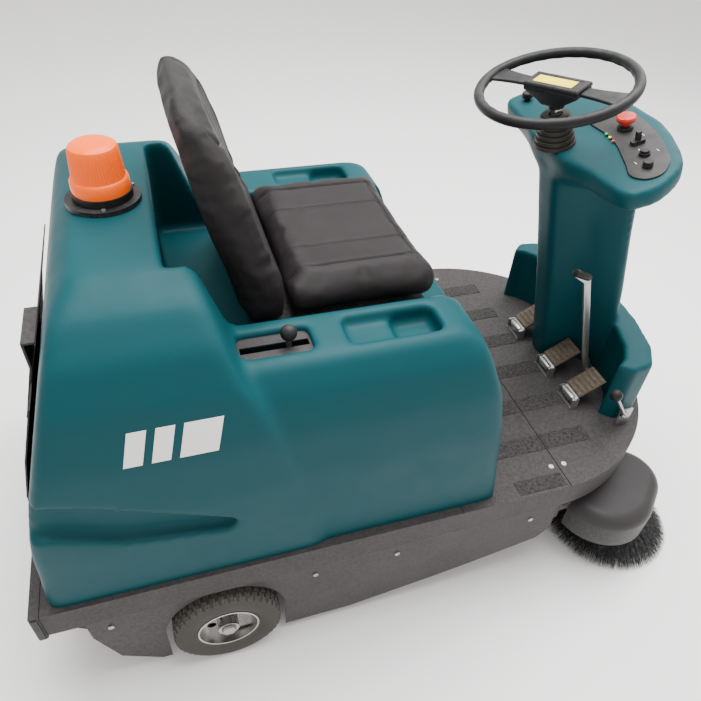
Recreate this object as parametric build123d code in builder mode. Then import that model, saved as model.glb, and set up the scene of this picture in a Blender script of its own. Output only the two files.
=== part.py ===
from build123d import *
import math
import os

# Ride-on sweeper. +X is forward, +Y is the operator's left, +Z is up, z = 0 is the floor.
# The model is drawn about the centre plane and moved to the middle of its own footprint when it is written.

os.makedirs("parts", exist_ok=True)

# ---- driving dimensions (mm) ----
deck_half_width = 445
deck_top = 334
deck_plate = 4
frame_rear = -660
deck_arc_start = 450
deck_corner_radius = 395
deck_seam = 470
rail_height = 68
rail_wall = 20
skirt_wall = 3
skirt_half_width = 433
skirt_bottom = 20
wheel_radius = 117
wheel_width = 82
wheel_outer = 461.5
rear_axle_x = -329
rim_radius = 66.5
axle_radius = 10
shaft_clearance = 0.05
side_gap = 3
moving_gap = 0.5
cover_wall = 6
ledge_top = 783
tower_top = 922
well_half_width = 236
well_floor = 705
slot_half_length = 65
slot_half_width = 31
steering_radius = 153
steering_tube = 10
steering_x = 471.5
steering_z = 1073.5
steering_tilt = 14.37
steering_shaft_radius = 11
front_wheel_radius = 100
front_wheel_width = 64
kingpin_x = 640
kingpin_radius = 20
main_brush_radius = 130
main_brush_half_length = 330
main_brush_x = -60
main_brush_z = 133
side_brush_x = 724
side_brush_y = -368
side_brush_radius = 171
hood_x = 648
hood_y = -388
hood_radius = 122
hood_top = 215
bin_half_width = 362
bin_front = -250
bin_bottom = 70
bin_top = 325
bin_wall = 4
seat_half_width = 226
seat_bottom = 745
cushion_height = 78
seat_pivot_x = 160
seat_pivot_z = 722
knob_radius = 15
beacon_x = -420
lever_x = -150
slot_x = -175
lever_y = -298
lever_z = 640
pedal_length = 92
pedal_width = 60
pedal_tilt = 30
dash_tilt = 14.4
dash_x = 450
dash_z = 940
dash_depth = 34
screw_radius = 6

rail_top = deck_top - deck_plate
rail_bottom = rail_top - rail_height
wheel_mid = wheel_outer - wheel_width / 2
wheel_inner = wheel_outer - wheel_width

# The side brush reaches past the bumper line on the right, so the middle of the footprint is off the centre plane.
footprint_front = side_brush_x + side_brush_radius
crossbar_rear = frame_rear - 19
footprint_right = side_brush_y - side_brush_radius
row_x = -(footprint_front + crossbar_rear) / 2
row_y = -(footprint_right + wheel_outer) / 2


def write_piece(node_name, *builders):
    """Join the solids of one finished piece, move it to the middle of the footprint and write it."""
    with BuildPart() as piece:
        for builder in builders:
            add(builder.part)
    placed = piece.part.moved(Location((row_x, row_y, 0)))
    placed.label = node_name
    export_step(placed, f"parts/{node_name}.step")


def deck_outline(inset, rear):
    """The deck seen from above: straight sides and two large front corners."""
    radius = deck_corner_radius - inset
    side = deck_half_width - inset
    middle = deck_half_width - deck_corner_radius
    Line((rear, -side), (deck_arc_start, -side))
    CenterArc((deck_arc_start, -middle), radius, -90, 90)
    Line((deck_arc_start + radius, -middle), (deck_arc_start + radius, middle))
    CenterArc((deck_arc_start, middle), radius, 0, 90)
    Line((deck_arc_start, side), (rear, side))
    Line((rear, side), (rear, -side))


# ---- chassis ----
with BuildPart() as frame_rail:
    with BuildSketch(Plane.XY.offset(rail_bottom)):
        with BuildLine():
            deck_outline(0, frame_rear)
        make_face()
        with BuildLine():
            deck_outline(rail_wall, frame_rear - 1)
        make_face(mode=Mode.SUBTRACT)
    extrude(amount=rail_height)
    fillet(frame_rail.edges().filter_by(Plane.XY).group_by(Axis.Z)[0].filter_by(Axis.X), 4)
write_piece("frame_rail", frame_rail)

crossmember_x = [-225, 215, 430]
crossmember_depth = 30
crossmember_height = 26
with BuildPart() as crossmembers:
    for member_x in crossmember_x:
        with BuildSketch(Plane.XY.offset(rail_top - crossmember_height)):
            with Locations((member_x, 0)):
                Rectangle(crossmember_depth, 2 * (deck_half_width - rail_wall))
        extrude(amount=crossmember_height)

bearing_plate_length = 110
bearing_plate_height = 40
with BuildPart() as steering_crossmember:
    with BuildSketch(Plane.XY.offset(rail_top - bearing_plate_height)):
        with Locations((kingpin_x, 0)):
            Rectangle(bearing_plate_length, 2 * (deck_half_width - rail_wall - 100))
            Circle(kingpin_radius + shaft_clearance, mode=Mode.SUBTRACT)
    extrude(amount=bearing_plate_height)

cover_front_x = 290
rear_plate_start = 200
plate_reach = 1000
seam_gap = 1
shaft_foot_x = steering_x + math.tan(math.radians(steering_tilt)) * (steering_z - deck_top)
with BuildPart() as floor_plate_front:
    with BuildSketch(Plane.XY.offset(rail_top)):
        with BuildLine():
            deck_outline(0, rear_plate_start)
        make_face()
        with Locations((deck_seam + seam_gap - plate_reach, 0)):
            Rectangle(2 * plate_reach, 2 * plate_reach, mode=Mode.SUBTRACT)
        with Locations((shaft_foot_x, 0)):
            Circle(3 * steering_shaft_radius, mode=Mode.SUBTRACT)
    extrude(amount=deck_plate)
write_piece("floor_plate_front", floor_plate_front)

with BuildPart() as floor_plate_rear:
    with BuildSketch(Plane.XY.offset(rail_top)):
        with BuildLine():
            deck_outline(0, rear_plate_start)
        make_face()
        with Locations((deck_seam - seam_gap + plate_reach, 0)):
            Rectangle(2 * plate_reach, 2 * plate_reach, mode=Mode.SUBTRACT)
    extrude(amount=deck_plate)
write_piece("floor_plate_rear", floor_plate_rear)

body_deck_front = rear_plate_start - 1
with BuildPart() as body_deck:
    with BuildSketch(Plane.XY.offset(rail_top)):
        with Locations(((frame_rear + body_deck_front) / 2, 0)):
            Rectangle(body_deck_front - frame_rear, 2 * deck_half_width)
        with Locations((-450, 0)):
            Rectangle(220, 420, mode=Mode.SUBTRACT)
    extrude(amount=deck_plate)

strip_width = 45
strip_pitch = 123.4
strip_thickness = 1.2
strip_front = 594
strip_outer_front = 462.5
strip_start = cover_front_x + 8
with BuildPart() as grip_strips:
    with BuildSketch(Plane.XY.offset(deck_top)):
        for strip_row in (0.5, 1.5, 2.5):
            for side in (-1, 1):
                strip_y = side * strip_row * strip_pitch
                with Locations(((strip_start + deck_seam - 2) / 2, strip_y)):
                    Rectangle(deck_seam - 2 - strip_start, strip_width)
                with Locations(((deck_seam + 3 + strip_front) / 2, strip_y)):
                    Rectangle(strip_front - deck_seam - 3, strip_width)
        for side in (-1, 1):
            with Locations(((strip_start + 45 + strip_outer_front) / 2, side * 419)):
                Rectangle(strip_outer_front - strip_start - 45, strip_width * 0.8)
    extrude(amount=strip_thickness)
write_piece("grip_strips", grip_strips)


def skirt(side):
    """A side skirt hung under the rail, with an arch for the rear wheel."""
    inner = side * (skirt_half_width - skirt_wall)
    outline = [
        (-600, rail_bottom), (-595, 185), (-558, 79), (-480, skirt_bottom), (-40, skirt_bottom + 5),
        (190, 63), (286, 82), (442, 117), (470, 150), (470, rail_bottom),
    ]
    with BuildPart() as panel:
        with BuildSketch(Plane.XZ.offset(-inner)):
            with BuildLine():
                Polyline(*outline, close=True)
            make_face()
            with Locations((rear_axle_x, wheel_radius)):
                Circle(wheel_radius + 13, mode=Mode.SUBTRACT)
            with Locations((rear_axle_x, wheel_radius / 2 - 10)):
                Rectangle(2 * (wheel_radius + 13), wheel_radius + 20, mode=Mode.SUBTRACT)
        extrude(amount=-side * skirt_wall)
    return panel

write_piece("skirts", skirt(-1), skirt(1))

bracket_wall = 6
bracket_half_length = 50
skirt_inner = skirt_half_width - skirt_wall
axle_end = wheel_outer - 5.5


def axle_bracket(side):
    """A folded bracket under the rail that carries one stub axle."""
    plate_y = side * (wheel_inner - side_gap - bracket_wall / 2)
    with BuildPart() as bracket:
        with BuildSketch(Plane.XZ.offset(-plate_y)):
            with Locations((rear_axle_x, (rail_bottom + wheel_radius - 40) / 2)):
                Rectangle(2 * bracket_half_length, rail_bottom - wheel_radius + 40)
        extrude(amount=bracket_wall / 2, both=True)
        with BuildSketch(Plane.XY.offset(rail_bottom - bracket_wall)):
            with Locations((rear_axle_x, side * (skirt_inner + abs(plate_y)) / 2)):
                Rectangle(2 * bracket_half_length, skirt_inner - abs(plate_y))
        extrude(amount=bracket_wall)
        with BuildSketch(Plane.XZ.offset(-plate_y)):
            with Locations((rear_axle_x, wheel_radius)):
                Circle(axle_radius)
        extrude(amount=-side * (axle_end - abs(plate_y)))
    return bracket


# ---- wheels ----
def tyre(outer_radius, inner_radius, width, groove_count):
    """A rounded tyre turned about the Y axis, with two tread grooves."""
    half = width / 2
    shoulder = outer_radius * 0.885
    with BuildPart() as ring:
        with BuildSketch(Plane.XY) as section:
            with BuildLine():
                Line((inner_radius, -half * 0.84), (shoulder * 0.93, -half))
                ThreePointArc((shoulder * 0.93, -half), (outer_radius * 0.965, -half * 0.82),
                              (outer_radius, -half * 0.5))
                Line((outer_radius, -half * 0.5), (outer_radius, half * 0.5))
                ThreePointArc((outer_radius, half * 0.5), (outer_radius * 0.965, half * 0.82),
                              (shoulder * 0.93, half))
                Line((shoulder * 0.93, half), (inner_radius, half * 0.84))
                Line((inner_radius, half * 0.84), (inner_radius, -half * 0.84))
            make_face()
            for groove in range(groove_count):
                groove_y = (groove - (groove_count - 1) / 2) * half * 0.45
                with Locations((outer_radius, groove_y)):
                    Rectangle(6, 4, mode=Mode.SUBTRACT)
        revolve(axis=Axis.Y)
    return ring


def rim(outer_radius, bore_radius, width, window_count):
    """A pressed steel rim: a barrel, a dished disc with windows and a hub."""
    half = width / 2 * 0.84
    with BuildPart() as disc_wheel:
        with BuildSketch(Plane.XZ):
            Circle(outer_radius)
            Circle(outer_radius - 4, mode=Mode.SUBTRACT)
        extrude(amount=half, both=True)
        with BuildSketch(Plane.XZ.offset(-4)):
            Circle(outer_radius - 2)
            with PolarLocations(outer_radius * 0.66, window_count):
                Circle(outer_radius * 0.15, mode=Mode.SUBTRACT)
        extrude(amount=8)
        with BuildSketch(Plane.XZ):
            Circle(outer_radius * 0.34)
        extrude(amount=half, both=True)
        with BuildSketch(Plane.XZ):
            Circle(bore_radius)
        extrude(amount=half + 1, both=True, mode=Mode.SUBTRACT)
    return disc_wheel


def placed_wheel(builder, x, y, z):
    """Stand a wheel piece, drawn about the origin, at its axle."""
    builder.part = builder.part.moved(Location((x, y, z)))
    return builder


for side, side_name in ((-1, "right"), (1, "left")):
    rear_tyre = tyre(wheel_radius, rim_radius, wheel_width, 2)
    write_piece(f"rear_tyre_{side_name}", placed_wheel(rear_tyre, rear_axle_x, side * wheel_mid, wheel_radius))
    rear_rim = rim(rim_radius, axle_radius + shaft_clearance, wheel_width, 5)
    write_piece(f"rear_rim_{side_name}", placed_wheel(rear_rim, rear_axle_x, side * wheel_mid, wheel_radius))

axle_nut_radius = 16
axle_nut_height = 5
with BuildPart() as axle_nuts:
    for side in (-1, 1):
        with BuildSketch(Plane.XZ.offset(-side * axle_end)):
            with Locations((rear_axle_x, wheel_radius)):
                RegularPolygon(axle_nut_radius, 6)
        extrude(amount=-side * axle_nut_height)

write_piece("axle_brackets", axle_bracket(-1), axle_bracket(1), axle_nuts)

front_tyre = tyre(front_wheel_radius, front_wheel_radius * 0.62, front_wheel_width, 1)
write_piece("front_tyre", placed_wheel(front_tyre, kingpin_x, 0, front_wheel_radius))
front_hub = rim(front_wheel_radius * 0.62, axle_radius + shaft_clearance, front_wheel_width, 6)
write_piece("front_drive_hub", placed_wheel(front_hub, kingpin_x, 0, front_wheel_radius))

fork_half_inner = front_wheel_width / 2 + 6
fork_wall = 8
fork_top = 232
with BuildPart() as front_fork:
    for side in (-1, 1):
        with BuildSketch(Plane.XZ.offset(-side * (fork_half_inner + fork_wall / 2))):
            with Locations((kingpin_x, (fork_top + front_wheel_radius - 22) / 2)):
                Rectangle(56, fork_top - front_wheel_radius + 22)
        extrude(amount=fork_wall / 2, both=True)
    with BuildSketch(Plane.XY.offset(fork_top - 14)):
        with Locations((kingpin_x, 0)):
            Rectangle(90, 2 * (fork_half_inner + fork_wall))
    extrude(amount=14)
    with BuildSketch(Plane.XY.offset(fork_top)):
        with Locations((kingpin_x, 0)):
            Circle(kingpin_radius)
    extrude(amount=rail_top - 2 - fork_top)
    with BuildSketch(Plane.XZ.offset(-fork_half_inner)):
        with Locations((kingpin_x, front_wheel_radius)):
            Circle(axle_radius)
    extrude(amount=2 * fork_half_inner)
write_piece("front_fork", front_fork)


# ---- rear cover ----
# Side outlines as (x, z): the tower behind the seat and the lower ledges beside it.
tower_profile = [
    (-645, 334), (-645, 350), (-631, 510), (-610, 600), (-573, 720), (-544, 810), (-518, 885),
    (-480, tower_top), (-292, tower_top), (-245, 790), (-209, 723), (-172, 607), (-129, 456), (-107, 334),
]
ledge_profile = [
    (-400, 334), (-400, ledge_top), (165, ledge_top), (205, 763), (245, 650), (266, 500), (290, 334),
]
# Half outlines seen from the front as (y, z).
tower_section = [(435, 334), (437, 560), (428, 680), (403, 775), (365, 845), (310, 893), (238, tower_top)]
ledge_section = [(427, 334), (427, 560), (416, 665), (392, 735), (356, ledge_top)]


def mirrored_section(half_outline):
    """A closed front outline from its left half."""
    right_half = [(-y, z) for y, z in half_outline]
    return half_outline + right_half[::-1]


def cover_block(profile, section, inset, floor_drop):
    """A body that has the given side outline and front outline, shrunk by the inset."""
    with BuildPart() as block:
        with BuildSketch(Plane.XZ):
            with BuildLine():
                Polyline(*[(x, z - (floor_drop if z == deck_top else 0)) for x, z in profile], close=True)
            make_face()
            offset(amount=-inset, kind=Kind.INTERSECTION)
        extrude(amount=600, both=True)
        with BuildSketch(Plane.YZ):
            with BuildLine():
                points = [(y, z - (floor_drop if z == deck_top else 0)) for y, z in mirrored_section(section)]
                Polyline(*points, close=True)
            make_face()
            offset(amount=-inset, kind=Kind.INTERSECTION)
        extrude(amount=1000, both=True, mode=Mode.INTERSECT)
    return block


groove_depth = 14
groove_outline = [(-700, 622), (-700, 548), (-295, 497)]


def groove_cutters(growth):
    """Blocks that cut the long tapering groove low on each side of the cover."""
    with BuildPart() as cutters:
        for side in (-1, 1):
            with BuildSketch(Plane.XZ.offset(-side * (tower_section[0][0] - groove_depth - growth))):
                with BuildLine():
                    Polyline(*groove_outline, close=True)
                make_face()
                offset(amount=growth, kind=Kind.INTERSECTION)
            extrude(amount=-side * 60)
    return cutters


def outer_cover():
    """The outer skin of the cover, with the softened shoulders and corners of a moulding."""
    tower = cover_block(tower_profile, tower_section, 0, 0)
    ledges = cover_block(ledge_profile, ledge_section, 0, 0)
    with BuildPart() as skin:
        add(tower.part)
        add(ledges.part)
    return skin


outer_skin = outer_cover()
inner_tower = cover_block(tower_profile, tower_section, cover_wall, 80)
inner_ledges = cover_block(ledge_profile, ledge_section, cover_wall, 80)

scoop_x = -337
scoop_front = 400
tray_length = 178
tray_middle_x = 41
tray_width = 72
tray_depth = 20
cup_depth = 38
well_height = 600
with BuildPart() as rear_cover:
    add(outer_skin.part)
    # hollow inside, kept clear of the walls of the seat well and of the tray
    with BuildPart(mode=Mode.PRIVATE) as hollow:
        add(inner_tower.part)
        add(inner_ledges.part)
        with BuildSketch(Plane.XY.offset(well_floor - cover_wall)):
            with Locations(((scoop_x - cover_wall + scoop_front) / 2, 0)):
                Rectangle(scoop_front - scoop_x + cover_wall, 2 * (well_half_width + cover_wall))
        extrude(amount=well_height, mode=Mode.SUBTRACT)
        with BuildSketch(Plane.XY.offset(ledge_top - cup_depth - cover_wall)):
            for side in (-1, 1):
                with Locations((tray_middle_x, side * abs(lever_y))):
                    Rectangle(tray_length + 2 * cover_wall, tray_width + 2 * cover_wall)
        extrude(amount=well_height, mode=Mode.SUBTRACT)
        add(groove_cutters(cover_wall).part, mode=Mode.SUBTRACT)
    add(hollow.part, mode=Mode.SUBTRACT)
    # the well that the seat stands in, with the scoop for its back
    with BuildSketch(Plane.XY.offset(well_floor)):
        with Locations(((scoop_x + scoop_front) / 2, 0)):
            Rectangle(scoop_front - scoop_x, 2 * well_half_width)
    extrude(amount=well_height, mode=Mode.SUBTRACT)
    # slot for the main brush lever, on the right ledge
    with BuildSketch(Plane.XY.offset(ledge_top - 2 * cover_wall)):
        with Locations((slot_x, lever_y)):
            RectangleRounded(2 * slot_half_length, 2 * slot_half_width, 9)
    extrude(amount=100, mode=Mode.SUBTRACT)
    # trays in both ledges, with a deeper cup at the front end
    with BuildSketch(Plane.XY.offset(ledge_top - tray_depth)):
        for side in (-1, 1):
            with Locations((tray_middle_x, side * abs(lever_y))):
                RectangleRounded(tray_length, tray_width, 14)
    extrude(amount=100, mode=Mode.SUBTRACT)
    with BuildSketch(Plane.XY.offset(ledge_top - cup_depth)):
        for side in (-1, 1):
            with Locations((tray_middle_x + tray_length / 4, side * abs(lever_y))):
                RectangleRounded(tray_length / 2, tray_width, 14)
    extrude(amount=100, mode=Mode.SUBTRACT)
    add(groove_cutters(0).part, mode=Mode.SUBTRACT)
write_piece("rear_cover", rear_cover)

lever_post_wall = 6
with BuildPart() as lever_bracket:
    for side in (-1, 1):
        with BuildSketch(Plane.XZ.offset(-(lever_y + side * (lever_post_wall + 3)))):
            with Locations((lever_x, (deck_top + lever_z + 14) / 2)):
                Rectangle(50, lever_z + 14 - deck_top)
            with Locations((lever_x, lever_z)):
                Circle(6 + shaft_clearance, mode=Mode.SUBTRACT)
        extrude(amount=lever_post_wall / 2, both=True)
    with BuildSketch(Plane.XY.offset(deck_top)):
        with Locations((lever_x, lever_y)):
            Rectangle(50, 2 * (lever_post_wall + 3))
    extrude(amount=5)

gate_slot_width = 16
with BuildPart() as lever_gate:
    with BuildSketch(Plane.XY.offset(ledge_top - 2 * cover_wall - 3)):
        with Locations((slot_x, lever_y)):
            Rectangle(2 * slot_half_length + 20, 2 * slot_half_width + 16)
            Rectangle(2 * slot_half_length - 8, gate_slot_width, mode=Mode.SUBTRACT)
    extrude(amount=3)

lever_rod_radius = 5
lever_knob_z = 797
knob_flat = 12
with BuildPart() as brush_lever:
    with BuildSketch(Plane.XY.offset(lever_z)):
        with Locations((lever_x, lever_y)):
            Circle(lever_rod_radius)
    extrude(amount=lever_knob_z - knob_flat - lever_z)
    with BuildSketch(Plane.XZ.offset(-(lever_y - 5))):
        with Locations((lever_x, lever_z)):
            Circle(11)
    extrude(amount=-10)
    with BuildSketch(Plane.XZ.offset(-(lever_y - lever_post_wall - 5))):
        with Locations((lever_x, lever_z)):
            Circle(6)
    extrude(amount=-2 * (lever_post_wall + 5))


def ball_knob(x, y, z):
    """A black ball knob, flat where its rod goes in."""
    with BuildPart() as knob:
        with Locations((x, y, z)):
            Sphere(knob_radius)
        with BuildSketch(Plane.XY.offset(z - knob_radius)):
            with Locations((x, y)):
                Circle(knob_radius)
        extrude(amount=knob_radius - knob_flat, mode=Mode.SUBTRACT)
    return knob

# ---- under the cover ----
battery_length = 182
battery_breadth = 170
battery_height = 262
battery_gap = 6
battery_x = 10
tray_floor = 4
with BuildPart() as battery_tray:
    with BuildSketch(Plane.XY.offset(deck_top)):
        with Locations((battery_x, 0)):
            Rectangle(2 * battery_length + 30, 2 * battery_breadth + 30)
    extrude(amount=30)
    with BuildSketch(Plane.XY.offset(deck_top + tray_floor)):
        with Locations((battery_x, 0)):
            Rectangle(2 * battery_length + 24, 2 * battery_breadth + 24)
    extrude(amount=30, mode=Mode.SUBTRACT)

with BuildPart() as batteries:
    with BuildSketch(Plane.XY.offset(deck_top + tray_floor)):
        with Locations((battery_x, 0)):
            with GridLocations(battery_length + battery_gap, battery_breadth + battery_gap, 2, 2):
                Rectangle(battery_length, battery_breadth)
    extrude(amount=battery_height)
    with BuildSketch(Plane.XY.offset(deck_top + tray_floor + battery_height)):
        with Locations((battery_x, 0)):
            with GridLocations(battery_length + battery_gap, battery_breadth + battery_gap, 2, 2):
                with GridLocations(battery_length * 0.7, 0, 2, 1):
                    Circle(9)
    extrude(amount=14)
write_piece("batteries", batteries)

with BuildPart() as filter_box:
    with BuildSketch(Plane.XY.offset(deck_top)):
        with Locations((-450, 0)):
            Rectangle(250, 470)
    extrude(amount=190)
    with BuildSketch(Plane.XY.offset(deck_top)):
        with Locations((-450, 0)):
            Rectangle(244, 464)
    extrude(amount=187, mode=Mode.SUBTRACT)

with BuildPart() as panel_filter:
    with BuildSketch(Plane.XY.offset(deck_top + 40)):
        with Locations((-450, 0)):
            Rectangle(240, 460)
    extrude(amount=90)
    with BuildSketch(Plane.XY.offset(deck_top + 40)):
        with Locations((-450, 0)):
            with GridLocations(16, 0, 14, 1):
                Rectangle(7, 430)
    extrude(amount=80, mode=Mode.SUBTRACT)

fan_base = deck_top + 190
with BuildPart() as suction_fan:
    with BuildSketch(Plane.XY.offset(fan_base)):
        with Locations((-450, 0)):
            Circle(105)
    extrude(amount=70)
    with BuildSketch(Plane.XY.offset(fan_base + 70)):
        with Locations((-450, 0)):
            Circle(52)
    extrude(amount=75)
    with BuildSketch(Plane.XZ.offset(-95)):
        with Locations((-395, fan_base + 35)):
            Rectangle(60, 60)
    extrude(amount=-70)
write_piece("suction_fan", suction_fan)

# ---- rear hopper ----
crossbar_low = 258
crossbar_high = 336
with BuildPart() as hopper_crossbar:
    with BuildSketch(Plane.XY.offset(crossbar_low)):
        with Locations(((crossbar_rear + frame_rear) / 2 - moving_gap / 2, 0)):
            Rectangle(frame_rear - crossbar_rear - moving_gap, 2 * (deck_half_width + 2))
    extrude(amount=crossbar_high - crossbar_low)
    fillet(hopper_crossbar.edges().filter_by(Axis.Z), 3)
    with BuildSketch(Plane.XZ.offset(-(deck_half_width + 2))):
        with Locations(((crossbar_rear + frame_rear) / 2, (crossbar_low + crossbar_high) / 2)):
            Rectangle(12, crossbar_high - crossbar_low - 8)
    extrude(amount=-3)
    with BuildSketch(Plane.XZ.offset(deck_half_width + 2)):
        with Locations(((crossbar_rear + frame_rear) / 2, (crossbar_low + crossbar_high) / 2)):
            Rectangle(12, crossbar_high - crossbar_low - 8)
    extrude(amount=3)
write_piece("hopper_crossbar", hopper_crossbar)

bin_rear = frame_rear - moving_gap
with BuildPart() as hopper_bin:
    with BuildSketch(Plane.XZ):
        with BuildLine():
            Polyline((bin_rear, bin_top), (bin_rear, bin_bottom + 60), (bin_rear + 60, bin_bottom),
                     (bin_front, bin_bottom), (bin_front, bin_top), close=True)
        make_face()
    extrude(amount=bin_half_width, both=True)
    with BuildSketch(Plane.XZ):
        with BuildLine():
            Polyline((bin_rear + bin_wall, bin_top + 1), (bin_rear + bin_wall, bin_bottom + 62),
                     (bin_rear + 62, bin_bottom + bin_wall), (bin_front + 1, bin_bottom + bin_wall),
                     (bin_front + 1, bin_top + 1), close=True)
        make_face()
    extrude(amount=bin_half_width - bin_wall, both=True, mode=Mode.SUBTRACT)
write_piece("hopper_bin", hopper_bin)

panel_half_width = 300
panel_wall = 3
panel_offset = 8
panel_curve = [(-645, crossbar_high), (-645, 350), (-631, 510), (-610, 600), (-573, 720)]
panel_front = [(x - panel_offset, z) for x, z in panel_curve]
panel_back = [(x - panel_offset - panel_wall, z) for x, z in panel_curve]
with BuildPart() as hopper_panel:
    with BuildSketch(Plane.XZ):
        with BuildLine():
            Polyline(*(panel_front + panel_back[::-1]), close=True)
        make_face()
    extrude(amount=panel_half_width, both=True)
    with BuildSketch(Plane.XY.offset(crossbar_high)):
        with Locations(((crossbar_rear + 4 - 645 - panel_offset) / 2, 0)):
            Rectangle(-645 - panel_offset - crossbar_rear - 4, 2 * panel_half_width)
    extrude(amount=panel_wall)

handle_middle_y = -185
handle_width = 98
handle_wall = 4
handle_top = 806
with BuildPart() as hopper_handle:
    with BuildSketch(Plane.XZ.offset(-(handle_middle_y - handle_width / 2))):
        with BuildLine():
            Polyline((-611, 640), (-577, 752), (-577, handle_top), (-555, handle_top), (-555, handle_top - handle_wall),
                     (-573, handle_top - handle_wall), (-573, 752), (-606, 640), close=True)
        make_face()
    extrude(amount=-handle_width)

# ---- main brush ----
tunnel_wall = 3
tunnel_rear = -205
tunnel_front = 190
tunnel_half_width = 355
tunnel_top = 300
brush_pivot_x = 150
brush_pivot_z = 200
brush_pivot_radius = 9
with BuildPart() as brush_tunnel:
    with BuildSketch(Plane.XZ):
        with Locations(((tunnel_rear + tunnel_front) / 2, (30 + tunnel_top) / 2)):
            Rectangle(tunnel_front - tunnel_rear, tunnel_top - 30)
    extrude(amount=tunnel_half_width, both=True)
    with BuildSketch(Plane.XZ):
        with Locations(((tunnel_rear + tunnel_front) / 2, (30 + tunnel_top) / 2 - tunnel_wall)):
            Rectangle(tunnel_front - tunnel_rear + 2, tunnel_top - 30)
    extrude(amount=tunnel_half_width - tunnel_wall, both=True, mode=Mode.SUBTRACT)
    with BuildSketch(Plane.XZ):
        with Locations((brush_pivot_x, brush_pivot_z)):
            Circle(brush_pivot_radius + shaft_clearance)
    extrude(amount=tunnel_half_width + 1, both=True, mode=Mode.SUBTRACT)
write_piece("brush_tunnel", brush_tunnel)

arm_wall = 8
brush_shaft_radius = 12
arm_y = main_brush_half_length + 6 + arm_wall / 2
with BuildPart() as brush_arms:
    for side in (-1, 1):
        with BuildSketch(Plane.XZ.offset(-side * arm_y)):
            with BuildLine():
                Polyline((main_brush_x - 16, main_brush_z - 12), (main_brush_x - 10, main_brush_z + 16),
                         (brush_pivot_x, brush_pivot_z + 20), (brush_pivot_x + 18, brush_pivot_z),
                         (brush_pivot_x, brush_pivot_z - 20), close=True)
            make_face()
        extrude(amount=arm_wall / 2, both=True)
    with BuildSketch(Plane.XZ):
        with Locations((brush_pivot_x, brush_pivot_z)):
            Circle(brush_pivot_radius)
    extrude(amount=tunnel_half_width + 6, both=True)
    with BuildSketch(Plane.XZ):
        with Locations((brush_pivot_x, brush_pivot_z)):
            Circle(brush_pivot_radius + 7)
    extrude(amount=arm_y, both=True)
    with BuildSketch(Plane.XZ):
        with Locations((main_brush_x, main_brush_z)):
            Circle(brush_shaft_radius + shaft_clearance)
    extrude(amount=arm_y + arm_wall, both=True, mode=Mode.SUBTRACT)
write_piece("brush_arms", brush_arms)

brush_core_radius = 60
with BuildPart() as main_brush_core:
    with BuildSketch(Plane.XZ):
        with Locations((main_brush_x, main_brush_z)):
            Circle(brush_core_radius)
    extrude(amount=main_brush_half_length, both=True)
    with BuildSketch(Plane.XZ):
        with Locations((main_brush_x, main_brush_z)):
            Circle(brush_shaft_radius)
    extrude(amount=arm_y + arm_wall / 2 - 1, both=True)

bristle_rows = 12
with BuildPart() as main_brush_bristles:
    with BuildSketch(Plane.XZ):
        with Locations((main_brush_x, main_brush_z)):
            Circle(main_brush_radius)
            with PolarLocations(main_brush_radius, bristle_rows):
                Circle(14, mode=Mode.SUBTRACT)
            Circle(brush_core_radius, mode=Mode.SUBTRACT)
    extrude(amount=main_brush_half_length - 4, both=True)

flap_wall = 4


def flap(x, low, high, half_length):
    """A rubber dust flap across the machine, hung from its top edge."""
    with BuildPart() as sheet:
        with BuildSketch(Plane.XY.offset(low)):
            with Locations((x, 0)):
                Rectangle(flap_wall, 2 * half_length)
        extrude(amount=high - low)
    return sheet


flap_pivot_x = 104
flap_pivot_z = 268
flap_pivot_radius = 6
with BuildPart() as front_flap:
    with BuildSketch(Plane.XY.offset(12)):
        with Locations((flap_pivot_x, 0)):
            Rectangle(flap_wall, 2 * (main_brush_half_length - 8))
    extrude(amount=brush_pivot_z - 28 - 12)
    for side in (-1, 1):
        with BuildSketch(Plane.XZ.offset(-side * (main_brush_half_length - 30))):
            with Locations((flap_pivot_x, (flap_pivot_z + brush_pivot_z - 60) / 2)):
                Rectangle(flap_wall, flap_pivot_z - brush_pivot_z + 60)
        extrude(amount=10, both=True)
    with BuildSketch(Plane.XZ):
        with Locations((flap_pivot_x, flap_pivot_z)):
            Circle(flap_pivot_radius)
    extrude(amount=tunnel_half_width - tunnel_wall - moving_gap, both=True)
write_piece("front_flap", front_flap)
rear_flap_low = 14
rear_flap_high = 150
tunnel_inner = tunnel_half_width - tunnel_wall
write_piece("rear_flap", flap(tunnel_rear + flap_wall, rear_flap_low, rear_flap_high, tunnel_inner))

# ---- side brush ----
side_pivot_x = 478
side_pivot_z = 180
side_pivot_radius = 8
side_motor_radius = 42
with BuildPart() as side_brush_arm:
    with BuildSketch(Plane.XZ.offset(-hood_y)):
        with BuildLine():
            Polyline((side_pivot_x - 14, side_pivot_z - 12), (side_pivot_x - 14, side_pivot_z + 12),
                     (side_brush_x + 30, hood_top - 8), (side_brush_x + 30, hood_top - 20), close=True)
        make_face()
    extrude(amount=20, both=True)
    with BuildSketch(Plane.XZ.offset(-hood_y)):
        with Locations((side_pivot_x, side_pivot_z)):
            Circle(side_pivot_radius + shaft_clearance)
    extrude(amount=30, both=True, mode=Mode.SUBTRACT)

with BuildPart() as side_brush_mount:
    for side in (-1, 1):
        with BuildSketch(Plane.XZ.offset(-(hood_y + side * 26))):
            with Locations((side_pivot_x, (rail_bottom + side_pivot_z - 16) / 2)):
                Rectangle(36, rail_bottom - side_pivot_z + 16)
        extrude(amount=4, both=True)
    with BuildSketch(Plane.XZ.offset(-hood_y)):
        with Locations((side_pivot_x, side_pivot_z)):
            Circle(side_pivot_radius)
    extrude(amount=26, both=True)
    with BuildSketch(Plane.XY.offset(rail_bottom - 6)):
        with Locations((side_pivot_x, hood_y)):
            Rectangle(36, 60)
    extrude(amount=6)

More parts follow.
